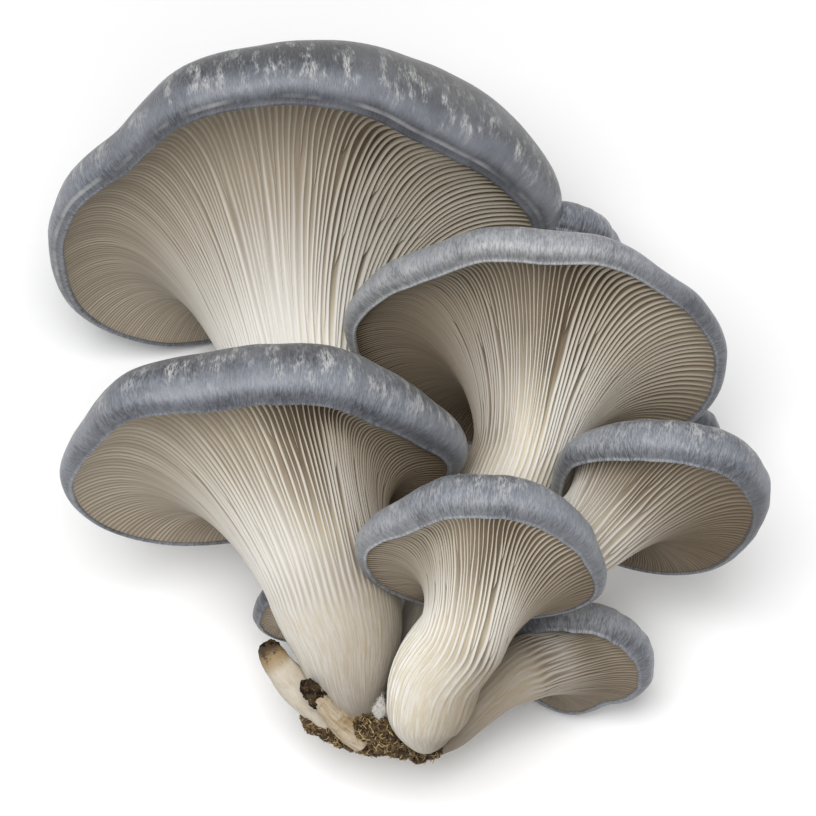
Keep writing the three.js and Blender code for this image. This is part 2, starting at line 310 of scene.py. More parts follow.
class Graph:
    """Short calls that add nodes to a tree and join them."""

    def __init__(self, tree: Tree) -> None:
        """Keep the tree that the nodes go into."""
        self.tree = tree

    def feed(self, socket: Output, value: Socket) -> None:
        """Link another node's output to a socket, or set its value.

        Args:
            socket: The input to feed.
            value: An output, a number, a colour or another value of the input's kind.
        """
        if isinstance(value, Output):
            self.tree.links.new(value, socket)
        elif socket.type == "RGBA" and len(value) == 3:
            socket.default_value = (*value, 1.0)
        else:
            socket.default_value = value

    def node(self, kind: str, inputs: Optional[dict[Any, Socket]] = None, **settings: Any) -> Node:
        """Add a node.

        Args:
            kind: The node's type name.
            inputs: Values or links by the input's name or number.
            settings: Properties of the node.

        Returns:
            The new node.
        """
        made = self.tree.nodes.new(kind)
        for key, value in settings.items():
            setattr(made, key, value)
        for key, value in (inputs or {}).items():
            self.feed(made.inputs[key], value)
        return made

    def math(self, operation: str, *values: Socket, clamp: bool = False) -> Output:
        """The result of a math node."""
        made = self.node("ShaderNodeMath", dict(enumerate(values)), operation=operation, use_clamp=clamp)
        return made.outputs[0]

    def times(self, a: Socket, b: Socket, clamp: bool = False) -> Output:
        """The product of two values."""
        return self.math("MULTIPLY", a, b, clamp=clamp)

    def plus(self, a: Socket, b: Socket, clamp: bool = False) -> Output:
        """The sum of two values."""
        return self.math("ADD", a, b, clamp=clamp)

    def minus(self, a: Socket, b: Socket) -> Output:
        """The difference of two values."""
        return self.math("SUBTRACT", a, b)

    def scaled(self, vector: Socket, scale: Socket) -> Output:
        """A vector made longer or shorter."""
        return self.node("ShaderNodeVectorMath", {0: vector, "Scale": scale}, operation="SCALE").outputs[0]

    def step(self, value: Socket, low: Socket, high: Socket, bottom: Socket = 0.0,
             top: Socket = 1.0) -> Output:
        """Smooth step of a value from `bottom` at `low` to `top` at `high`."""
        made = self.node("ShaderNodeMapRange", {0: value, 1: low, 2: high, 3: bottom, 4: top},
                         interpolation_type="SMOOTHSTEP")
        return made.outputs[0]

    def blend(self, share: Socket, a: Socket, b: Socket, way: str = "MIX") -> Output:
        """Two colours mixed by a share."""
        made = self.node("ShaderNodeMix", {0: share, 6: a, 7: b}, data_type="RGBA", blend_type=way)
        return made.outputs[2]

    def band(self, value: Socket, limits: Band) -> Output:
        """A mask of a band.

        Args:
            value: The value that the band is a stretch of.
            limits: Where the mask begins, where it is full, where it fades and where it ends.

        Returns:
            The mask, from nought to one.
        """
        begin, full, fade, end = limits
        return self.times(self.step(value, begin, full), self.step(value, end, fade))

    def coat(self, colour: Socket, paint: Socket, mask: Socket, amount: Socket) -> Output:
        """A colour with some paint over it.

        Args:
            colour: The colour below.
            paint: The colour on top.
            mask: Where the paint is.
            amount: How much of it there is where the mask is full.

        Returns:
            The mixed colour.
        """
        return self.blend(self.times(mask, amount), colour, paint)

    def noise(self, vector: Socket, scale: Socket, detail: float = 3.0,
              roughness: float = 0.55, distortion: float = 0.0) -> Output:
        """Plain noise from nought to one at a place."""
        made = self.node("ShaderNodeTexNoise", {"Vector": vector, "Scale": scale, "Detail": detail,
                                                "Roughness": roughness, "Distortion": distortion})
        return made.outputs[0]

    def wobble(self, scale: Socket, seed: Socket, detail: float) -> Output:
        """Noise about nought at each point of a mesh, which a seed changes."""
        made = self.node("ShaderNodeTexNoise", {"Scale": scale, "W": seed, "Detail": detail},
                         noise_dimensions="4D")
        return self.minus(made.outputs[0], 0.5)

    def stretched(self, vector: Socket, scale: Sequence[float]) -> Output:
        """A place scaled apart along its axes."""
        return self.node("ShaderNodeMapping", {"Vector": vector, "Scale": tuple(scale)}).outputs[0]


@dataclass(frozen=True)
class Input:
    """A named input of a node tree or a group."""

    name: str
    kind: str = "NodeSocketFloat"
    value: Optional[Any] = None


def open_tree(name: str, kind: str, inputs: Sequence[Input], outputs: Sequence[Input]
              ) -> tuple[Graph, Node, Node]:
    """Start a node tree with named sockets.

    Args:
        name: The tree's name.
        kind: Its type name.
        inputs: Sockets on the way in.
        outputs: Sockets on the way out.

    Returns:
        The graph, its group input node and its group output node.
    """
    tree = bpy.data.node_groups.new(name, kind)
    for listed, way in ((inputs, "INPUT"), (outputs, "OUTPUT")):
        for item in listed:
            socket = tree.interface.new_socket(name=item.name, in_out=way, socket_type=item.kind)
            if item.value is not None:
                socket.default_value = item.value
    graph = Graph(tree)
    return graph, graph.node("NodeGroupInput"), graph.node("NodeGroupOutput")


def apply_tree(obj: Piece, tree: Tree, values: dict[str, Any]) -> Piece:
    """Run a geometry tree on an object and keep the result as a plain mesh.

    Args:
        obj: The object that the tree starts from, which is used up.
        tree: The geometry node tree.
        values: Settings by the name of the tree's input.

    Returns:
        A new object of the same name, with no modifier.
    """
    modifier = obj.modifiers.new("grow", "NODES")
    modifier.node_group = tree
    for item in tree.interface.items_tree:
        if item.in_out == "INPUT" and item.name in values:
            modifier[item.identifier] = values[item.name]
    graph = bpy.context.evaluated_depsgraph_get()
    mesh = bpy.data.meshes.new_from_object(obj.evaluated_get(graph), preserve_all_data_layers=True,
                                           depsgraph=graph)
    name = obj.name
    obj.modifiers.remove(modifier)
    bpy.data.objects.remove(obj)
    made = placed(name, mesh)
    mesh.name = name
    return made


def settle(obj: Piece, low: Sequence[float], high: Sequence[float]) -> None:
    """Press a piece flat where it would pass the floor or the cluster's box.

    Args:
        obj: The piece.
        low: The lowest corner of the box.
        high: Its highest corner.
    """
    points = np.empty(len(obj.data.vertices) * 3, np.float32)
    obj.data.vertices.foreach_get("co", points)
    kept = np.clip(points.reshape(-1, 3), np.asarray(low), np.asarray(high))
    obj.data.vertices.foreach_set("co", kept.astype(np.float32).ravel())
    obj.data.update()


# Node trees that repeat a form

def open_form(name: str, sizes: Sequence[Input]) -> tuple[Graph, Any, Node]:
    """Start a geometry tree that takes a mesh, its sizes and a material.

    Args:
        name: The tree's name.
        sizes: The inputs between the mesh and the material.

    Returns:
        The graph, the tree's inputs by name and its group output node.
    """
    mesh = Input("Geometry", "NodeSocketGeometry")
    inputs = [mesh, *sizes, Input("Finish", "NodeSocketMaterial")]
    graph, source, result = open_tree(name, "GeometryNodeTree", inputs, [mesh])
    return graph, source.outputs, result


def close_form(graph: Graph, result: Node, geometry: Socket, finish: Socket) -> Tree:
    """End a geometry tree with real meshes that have their material.

    Args:
        graph: The tree's graph.
        result: Its group output node.
        geometry: What the tree has made.
        finish: The material.

    Returns:
        The geometry tree.
    """
    real = graph.node("GeometryNodeRealizeInstances", {"Geometry": geometry})
    dressed = graph.node("GeometryNodeSetMaterial", {"Geometry": real.outputs[0], "Material": finish})
    graph.feed(result.inputs[0], dressed.outputs[0])
    return graph.tree


def blade_tree() -> Tree:
    """Tree that folds a smooth surface into gills.

    It reads the place across each gill, how high the gill stands there and how deep the groove
    beside it lies, and keeps a mask of the gills for the material.

    Returns:
        The geometry tree.
    """
    graph, place, result = open_form("fold_gills", [
        Input("Blade height", value=1.0), Input("Groove depth", value=1.0),
        Input("Crest half width", value=0.1), Input("Foot half width", value=0.36),
        Input("Unevenness", value=0.1), Input("Uneven scale", value=400.0), Input("Seed", value=1.0)])

    def stored(name: str, kind: str = "FLOAT") -> Output:
        """A value that the mesh carries."""
        return graph.node("GeometryNodeInputNamedAttribute", {"Name": name}, data_type=kind).outputs[0]

    off_crest = graph.math("ABSOLUTE", graph.minus(stored("across"), 0.5))
    crest = graph.step(off_crest, place["Crest half width"], place["Foot half width"], 1.0, 0.0)
    blade = graph.times(crest, stored("vigour"))
    up = graph.times(stored("rise"), place["Blade height"])
    down = graph.times(stored("sink"), place["Groove depth"])
    travel = graph.minus(graph.times(blade, graph.plus(up, down)), down)
    uneven = graph.times(graph.wobble(place["Uneven scale"], place["Seed"], 2.0), place["Unevenness"])
    offset = graph.scaled(stored("outward", "FLOAT_VECTOR"), graph.plus(travel, uneven))
    marked = graph.node("GeometryNodeStoreNamedAttribute", {
        "Geometry": place["Geometry"], "Name": "blade", "Value": blade}, data_type="FLOAT", domain="POINT")
    moved = graph.node("GeometryNodeSetPosition", {"Geometry": marked.outputs[0], "Offset": offset})
    return close_form(graph, result, moved.outputs[0], place["Finish"])


def crust_tree() -> Tree:
    """Tree that roughens a surface with lumps and pits.

    Returns:
        The geometry tree.
    """
    graph, place, result = open_form("roughen_crust", [
        Input("Lump height", value=0.0012), Input("Lump scale", value=420.0),
        Input("Pit height", value=0.0006), Input("Pit scale", value=1500.0), Input("Seed", value=1.0)])
    travel: Socket = 0.0
    for size, scale in (("Lump height", "Lump scale"), ("Pit height", "Pit scale")):
        part = graph.times(graph.wobble(place[scale], place["Seed"], 3.0), place[size])
        travel = graph.plus(travel, part)
    offset = graph.scaled(graph.node("GeometryNodeInputNormal").outputs[0], travel)
    moved = graph.node("GeometryNodeSetPosition", {"Geometry": place["Geometry"], "Offset": offset})
    return close_form(graph, result, moved.outputs[0], place["Finish"])


def scatter_tree() -> Tree:
    """Tree that strews copies of one small shape over a surface.

    Returns:
        The geometry tree.
    """
    graph, place, result = open_form("strew", [
        Input("Shape", "NodeSocketObject"), Input("Density", value=1.0e6),
        Input("Smallest", value=0.5), Input("Largest", value=1.5), Input("Tilt", value=0.5),
        Input("Seed", "NodeSocketInt", 1)])
    spots = graph.node("GeometryNodeDistributePointsOnFaces", {
        "Mesh": place["Geometry"], "Density": place["Density"], "Seed": place["Seed"]},
        distribute_method="RANDOM")

    def chance(kind: str, low: Socket, high: Socket, shift: int) -> Output:
        """A random value for each copy.

        Args:
            kind: The value's data type.
            low: Its lowest value.
            high: Its highest value.
            shift: What is added to the tree's seed, different in each call.

        Returns:
            The value.
        """
        made = graph.node("FunctionNodeRandomValue", data_type=kind)
        limits = [socket for socket in made.inputs if socket.enabled]
        graph.feed(limits[0], low)
        graph.feed(limits[1], high)
        graph.feed(made.inputs["Seed"], graph.plus(place["Seed"], float(shift)))
        return next(socket for socket in made.outputs if socket.enabled)

    tilt = graph.times(place["Tilt"], -1.0)
    least = graph.node("ShaderNodeCombineXYZ", {0: tilt, 1: tilt, 2: 0.0}).outputs[0]
    most = graph.node("ShaderNodeCombineXYZ", {0: place["Tilt"], 1: place["Tilt"], 2: TURN}).outputs[0]
    spin = graph.node("FunctionNodeEulerToRotation", {0: chance("FLOAT_VECTOR", least, most, 3)})
    rotation = graph.node("FunctionNodeRotateRotation", {
        "Rotation": spots.outputs["Rotation"], "Rotate By": spin.outputs[0]}, rotation_space="LOCAL")
    size = chance("FLOAT", place["Smallest"], place["Largest"], 7)
    copies = graph.node("GeometryNodeInstanceOnPoints", {
        "Points": spots.outputs["Points"], "Rotation": rotation.outputs[0], "Scale": size,
        "Instance": graph.node("GeometryNodeObjectInfo", {"Object": place["Shape"]}).outputs["Geometry"]})
    marked = graph.node("GeometryNodeStoreNamedAttribute", {
        "Geometry": copies.outputs[0], "Name": "shade", "Value": chance("FLOAT", 0.0, 1.0, 11)},
        data_type="FLOAT", domain="INSTANCE")
    return close_form(graph, result, marked.outputs[0], place["Finish"])


# Finishes

def fibril_group() -> Tree:
    """Shader group of fine streaks that run along a cap or a stem.

    Returns:
        The group's tree.
    """
    graph, source, result = open_tree("fibrils", "ShaderNodeTree", [
        Input("Grain", "NodeSocketVector"), Input("Fineness", value=1.0), Input("Contrast", value=1.0)],
        [Input("Streak"), Input("Height")])
    place = source.outputs
    grain = graph.scaled(place["Grain"], place["Fineness"])
    fine = graph.noise(graph.stretched(grain, (3.2, 3.2, 0.45)), 1.0, 3.0, 0.6, 0.35)
    broad = graph.noise(graph.stretched(grain, (1.0, 1.0, 0.14)), 1.0, 3.0, 0.6, 0.4)
    height = graph.plus(graph.times(fine, 0.65), graph.times(broad, 0.35))
    centred = graph.times(graph.minus(height, 0.5), place["Contrast"])
    graph.feed(result.inputs["Streak"], graph.plus(graph.times(centred, 2.6), 0.5, clamp=True))
    graph.feed(result.inputs["Height"], height)
    return graph.tree


def mottle_group() -> Tree:
    """Shader group of soft patches and small specks.

    Returns:
        The group's tree.
    """
    graph, source, result = open_tree("mottle", "ShaderNodeTree", [
        Input("Place", "NodeSocketVector"), Input("Patch scale", value=60.0),
        Input("Speck scale", value=500.0)], [Input("Patches"), Input("Specks")])
    place = source.outputs
    for name, scale, low, high in (("Patches", "Patch scale", 0.42, 0.66),
                                   ("Specks", "Speck scale", 0.52, 0.68)):
        cloud = graph.noise(place["Place"], place[scale], 4.0, 0.6)
        graph.feed(result.inputs[name], graph.step(cloud, low, high))
    return graph.tree


class Finish:
    """A material under construction: its nodes, its shader and the shared groups."""

    def __init__(self, name: str, roughness: float, specular: float = 0.3, sheen: float = 0.0) -> None:
        """Start a material with the values that are the same all over it."""
        self.material = bpy.data.materials.new(name)
        self.material.use_nodes = True
        self.graph = Graph(self.material.node_tree)
        self.shader = self.material.node_tree.nodes["Principled BSDF"]
        self.shader.inputs["Roughness"].default_value = roughness
        self.shader.inputs["Specular IOR Level"].default_value = specular
        self.shader.inputs["Sheen Weight"].default_value = sheen

    def stored(self, name: str, vector: bool = False) -> Output:
        """A value that the mesh carries."""
        made = self.graph.node("ShaderNodeAttribute", attribute_type="GEOMETRY", attribute_name=name)
        return made.outputs["Vector" if vector else "Fac"]

    def streaks(self, fibrils: Tree, fineness: float, contrast: float) -> Sequence[Output]:
        """Place the group of fibrils with its own values.

        Args:
            fibrils: The group's tree.
            fineness: How fine the streaks are.
            contrast: How much they differ.

        Returns:
            The streaks and their height.
        """
        inputs = {"Grain": self.stored("grain", vector=True), "Fineness": fineness, "Contrast": contrast}
        return self.graph.node("ShaderNodeGroup", inputs, node_tree=fibrils).outputs

    def mottled(self, mottle: Tree, patch_scale: float, speck_scale: float) -> Sequence[Output]:
        """Place the group of patches and specks with its own values.

        Args:
            mottle: The group's tree.
            patch_scale: How fine the patches are.
            speck_scale: How fine the specks are.

        Returns:
            The patches and the specks.
        """
        inputs = {"Place": self.place(), "Patch scale": patch_scale, "Speck scale": speck_scale}
        return self.graph.node("ShaderNodeGroup", inputs, node_tree=mottle).outputs

    def place(self) -> Output:
        """The piece's own coordinates."""
        return self.graph.node("ShaderNodeTexCoord").outputs["Object"]

    def close(self, colour: Socket, height: Optional[Socket] = None, distance: float = 0.0002,
              strength: float = 0.5) -> Material:
        """Join colour and relief to the shader.

        Args:
            colour: The base colour.
            height: The relief, where there is one.
            distance: How far the relief stands out, in metres.
            strength: How much of it shows.

        Returns:
            The material.
        """
        self.graph.feed(self.shader.inputs["Base Color"], colour)
        if height is not None:
            bump = self.graph.node("ShaderNodeBump", {"Height": height, "Distance": distance,
                                                      "Strength": strength})
            self.graph.feed(self.shader.inputs["Normal"], bump.outputs["Normal"])
        return self.material


@dataclass(frozen=True)
class SkinFinish:
    """Slate-grey cap skin with fine fibrils, pale frosting, a dull lip and painted highlights and shade.

    The bands are in millimetres from the lip.
    """

    slate: Colour = (0.12, 0.127, 0.15)
    dark: Colour = (0.04, 0.042, 0.05)
    pale: Colour = (0.262, 0.28, 0.318)
    frost: Colour = (0.52, 0.52, 0.51)
    umber: Colour = (0.17, 0.165, 0.155)
    lip: Colour = (0.1, 0.098, 0.095)
    # Painted highlight: a paler band along the middle of the rolled margin.
    painted_highlight_band: Band = (3.5, 6.5, 8.0, 13.0)
    frost_band: Band = (4.0, 11.0, 15.0, 24.0)
    # Painted shade in the valley just above the lip.
    valley_shade_band: Band = (1.1, 1.8, 2.6, 5.5)
    # Painted highlight: a pale broken line along a fold of the rolled margin, beside that valley.
    crease_highlight_band: Band = (2.7, 3.1, 3.4, 4.2)

    def build(self, fibrils: Tree, mottle: Tree) -> Material:
        """Make the material.

        Args:
            fibrils: The shared group of streaks.
            mottle: The shared group of patches and specks.

        Returns:
            The material.
        """
        finish = Finish("cap_skin", roughness=0.42, specular=0.45, sheen=0.1)
        graph = finish.graph
        from_lip = finish.stored("from_lip")
        streak, relief = finish.streaks(fibrils, fineness=1.6, contrast=2.5)
        patches, specks = finish.mottled(mottle, patch_scale=60.0, speck_scale=1300.0)
        colour = graph.blend(streak, self.dark, self.pale)
        colour = graph.blend(0.25, colour, self.slate)
        cloudy = graph.step(graph.noise(finish.place(), 34.0, 2.0), 0.4, 0.62)
        colour = graph.coat(colour, self.dark, cloudy, 0.3)
        # Painted light on the skin: above nought the stored value lays pale frost that also works as a
        # painted highlight on lit parts of the band; below nought it darkens the skin as painted shade on
        # its shaded sides.
        bloom = finish.stored("bloom")
        colour = graph.blend(graph.times(bloom, -1.0, clamp=True), colour, self.dark)
        bright = graph.times(bloom, graph.plus(patches, 0.35), clamp=True)
        brushed = graph.plus(graph.times(streak, 0.6), 0.4)
        colour = graph.coat(colour, self.frost, bright, brushed)
        colour = graph.coat(colour, self.pale, patches, 0.4)
        colour = graph.coat(colour, self.dark, specks, 0.2)
        # Painted highlight along the middle of the rolled margin.
        colour = graph.coat(colour, self.pale, graph.band(from_lip, self.painted_highlight_band), 0.4)
        colour = graph.coat(colour, self.umber, graph.step(from_lip, 9.0, 17.0), 0.4)
        grain = graph.stretched(finish.stored("grain", vector=True), (0.55, 0.55, 0.16))
        flecks = graph.step(graph.noise(grain, 1.0, 4.0, 0.62), 0.46, 0.67)
        frosted = graph.times(flecks, graph.band(from_lip, self.frost_band))
        wisps = graph.plus(graph.times(streak, 0.95), 0.05)
        colour = graph.coat(colour, self.frost, frosted, wisps)
        # Painted shade in the valley just above the lip.
        colour = graph.coat(colour, self.dark, graph.band(from_lip, self.valley_shade_band), 0.45)
        # Painted highlight: a pale broken line along a fold beside the lip.
        crease = graph.times(graph.band(from_lip, self.crease_highlight_band), finish.stored("crease"))
        broken = graph.times(crease, graph.step(graph.noise(finish.place(), 90.0, 2.0), 0.38, 0.6))
        colour = graph.coat(colour, self.frost, broken, 0.4)
        colour = graph.coat(colour, self.lip, graph.step(from_lip, 1.0, 0.6), 0.35)
        return finish.close(colour, relief, distance=0.0003, strength=0.8)


@dataclass(frozen=True)
class FleshFinish:
    """Cream gills with tan grooves, darkened by painted shade, that run on as ridges of an off-white stem.
    """

    crest: Colour = (0.53, 0.48, 0.395)
    # The groove colours are the flesh's tan with painted shade in the grooves; deep is painted shade in
    # deep, open grooves.
    groove: Colour = (0.15, 0.11, 0.072)
    soft_crest: Colour = (0.45, 0.405, 0.33)
    soft_groove: Colour = (0.275, 0.225, 0.165)
    deep: Colour = (0.08, 0.052, 0.03)
    dull: Colour = (0.41, 0.355, 0.27)
    stem: Colour = (0.92, 0.91, 0.875)
    stem_groove: Colour = (0.77, 0.685, 0.51)
    # Tint of the painted shade that darkens the flesh where it lies in shade.
    shade: Colour = (0.33, 0.285, 0.235)
    # Brownish grey of the lower stems: browned flesh, and also painted shade low between the stems.
    stain_and_shade: Colour = (0.46, 0.435, 0.385)

    def build(self, fibrils: Tree, mottle: Tree) -> Material:
        """Make the material.

        Args:
            fibrils: The shared group of streaks.
            mottle: The shared group of patches and specks.

        Returns:
            The material.
        """
        finish = Finish("gill_and_stem_flesh", roughness=0.62, specular=0.25)
        graph = finish.graph
        blade, path, gape = (finish.stored(name) for name in ("blade", "path", "gape"))
        streak, relief = finish.streaks(fibrils, fineness=0.52, contrast=3.0)
        patches, _ = finish.mottled(mottle, patch_scale=45.0, speck_scale=700.0)
        # Painted shade: the stored value darkens the flesh, and where it is shaded the grooves take their
        # darker colours.
        dusk = graph.times(finish.stored("dusk"), 1.0, clamp=True)
        shaded = graph.times(dusk, graph.step(path, -0.2, 0.1))
        outer = graph.math("MAXIMUM", graph.step(path, 0.0, 0.55), shaded)
        # Painted shade in the grooves: from a soft tan where they are shallow to dark brown where they are
        # deep and open, over the flesh's own tan.
        open_wide = graph.step(gape, 0.4, 0.95)
        groove = graph.blend(open_wide, self.soft_groove, self.groove)
        groove = graph.coat(groove, self.deep, graph.times(patches, outer), open_wide)
        furrow = graph.blend(graph.step(gape, 0.2, 0.8), self.stem, self.stem_groove)
        hollow = graph.blend(outer, furrow, groove)
        depth = graph.step(gape, 0.2, 0.6)
        bright = graph.blend(depth, self.soft_crest, self.crest)
        faded = graph.blend(depth, self.soft_groove, self.dull)
        rib = graph.coat(bright, faded, finish.stored("dull"), 0.6)
        crest = graph.blend(graph.step(path, 0.0, 0.75), self.stem, rib)
        narrow = graph.step(blade, 0.1, 0.75)
        wider = graph.minus(graph.step(blade, 0.0, 0.45), narrow)
        share = graph.plus(narrow, graph.times(wider, graph.step(gape, 0.6, 0.2)))
        colour = graph.blend(share, hollow, crest)
        fibre = graph.blend(graph.step(path, -0.3, -0.85), self.stem_groove, self.stain_and_shade)
        plain = graph.coat(self.stem, fibre, streak, 0.85)
        colour = graph.coat(colour, plain, graph.step(path, 0.25, -0.2), 0.7)
        # Darker towards the foot: browned flesh and painted shade low between the stems.
        colour = graph.coat(colour, self.stain_and_shade, graph.step(path, -0.4, -0.95), 0.8)
        soiled = graph.times(patches, graph.step(path, -0.75, -1.0))
        colour = graph.coat(colour, self.stain_and_shade, soiled, 0.4)
        # Painted shade over the flesh, by the stored value.
        colour = graph.blend(dusk, colour, graph.blend(1.0, colour, self.shade, "MULTIPLY"))
        return finish.close(colour, relief, distance=0.00025, strength=0.5)


@dataclass(frozen=True)
class StubFinish:
    """Cream stunted flesh, browned in patches, with a dark dried tip."""

    cream: Colour = (0.6, 0.555, 0.475)
    tan: Colour = (0.29, 0.205, 0.105)
    dark: Colour = (0.06, 0.038, 0.02)

    def build(self, fibrils: Tree, mottle: Tree) -> Material:
        """Make the material.

        Args:
            fibrils: The shared group of streaks.
            mottle: The shared group of patches and specks.

        Returns:
            The material.
        """
        finish = Finish("stub_flesh", roughness=0.7)
        graph = finish.graph
        tip, age = finish.stored("tip"), finish.stored("age")
        streak, relief = finish.streaks(fibrils, fineness=0.8, contrast=2.4)
        patches, specks = finish.mottled(mottle, patch_scale=160.0, speck_scale=900.0)
        worn = graph.plus(graph.times(streak, 0.3), graph.times(patches, 0.35))
        worn = graph.plus(graph.times(worn, age), graph.times(age, 0.42), clamp=True)
        colour = graph.blend(worn, self.cream, self.tan)
        colour = graph.blend(graph.step(tip, 0.0, 0.5), colour, self.tan)
        colour = graph.coat(colour, self.dark, specks, graph.times(age, 0.25))
        crust = graph.plus(tip, graph.times(specks, 0.35))
        colour = graph.blend(graph.step(crust, 0.45, 0.85), colour, self.dark)
        return finish.close(colour, relief, distance=0.0003, strength=0.6)


@dataclass(frozen=True)
class SoilFinish:
    """Dark crumbly sawdust and soil."""

    black: Colour = (0.008, 0.006, 0.004)
    brown: Colour = (0.07, 0.042, 0.02)
    ochre: Colour = (0.3, 0.2, 0.09)

    def build(self, mottle: Tree) -> Material:
        """Make the material from the shared group."""
        finish = Finish("soil_and_sawdust", roughness=0.9, specular=0.15)
        patches, specks = finish.mottled(mottle, patch_scale=420.0, speck_scale=1500.0)
        colour = finish.graph.blend(patches, self.black, self.brown)
        colour = finish.graph.coat(colour, self.ochre, specks, 0.5)
        return finish.close(colour, specks, distance=0.0004, strength=0.8)


@dataclass(frozen=True)
class StrawFinish:
    """Straw fibres and crumbs, each a little different in colour."""

    name: str
    dull: Colour
    bright: Colour
    roughness: float = 0.55

    def build(self) -> Material:
        """Make the material; each copy's shade picks its colour."""
        finish = Finish(self.name, roughness=self.roughness, specular=0.3)
        graph = finish.graph
        speck = graph.noise(finish.place(), 1800.0, 3.0)
        share = graph.plus(graph.times(finish.stored("shade"), 0.75), graph.times(speck, 0.3), clamp=True)
        return finish.close(graph.blend(share, self.dull, self.bright), speck, distance=0.0001, strength=0.4)


@dataclass
class Palette:
    """All finishes of the cluster."""

    fibrils: Tree = field(default_factory=fibril_group)
    mottle: Tree = field(default_factory=mottle_group)

    def __post_init__(self) -> None:
        """Build each material once."""
        self.skin = SkinFinish().build(self.fibrils, self.mottle)
        self.flesh = FleshFinish().build(self.fibrils, self.mottle)
        self.stub = StubFinish().build(self.fibrils, self.mottle)
        self.soil = SoilFinish().build(self.mottle)
        self.crumb = StrawFinish("sawdust_crumbs", (0.008, 0.005, 0.003), (0.13, 0.08, 0.037), 0.85).build()
        self.straw = StrawFinish("straw_fibres", (0.06, 0.036, 0.015), (0.62, 0.45, 0.21)).build()
        self.threads = StrawFinish("white_threads", (0.72, 0.69, 0.63), (0.86, 0.84, 0.8), 0.6).build()


# The mushrooms

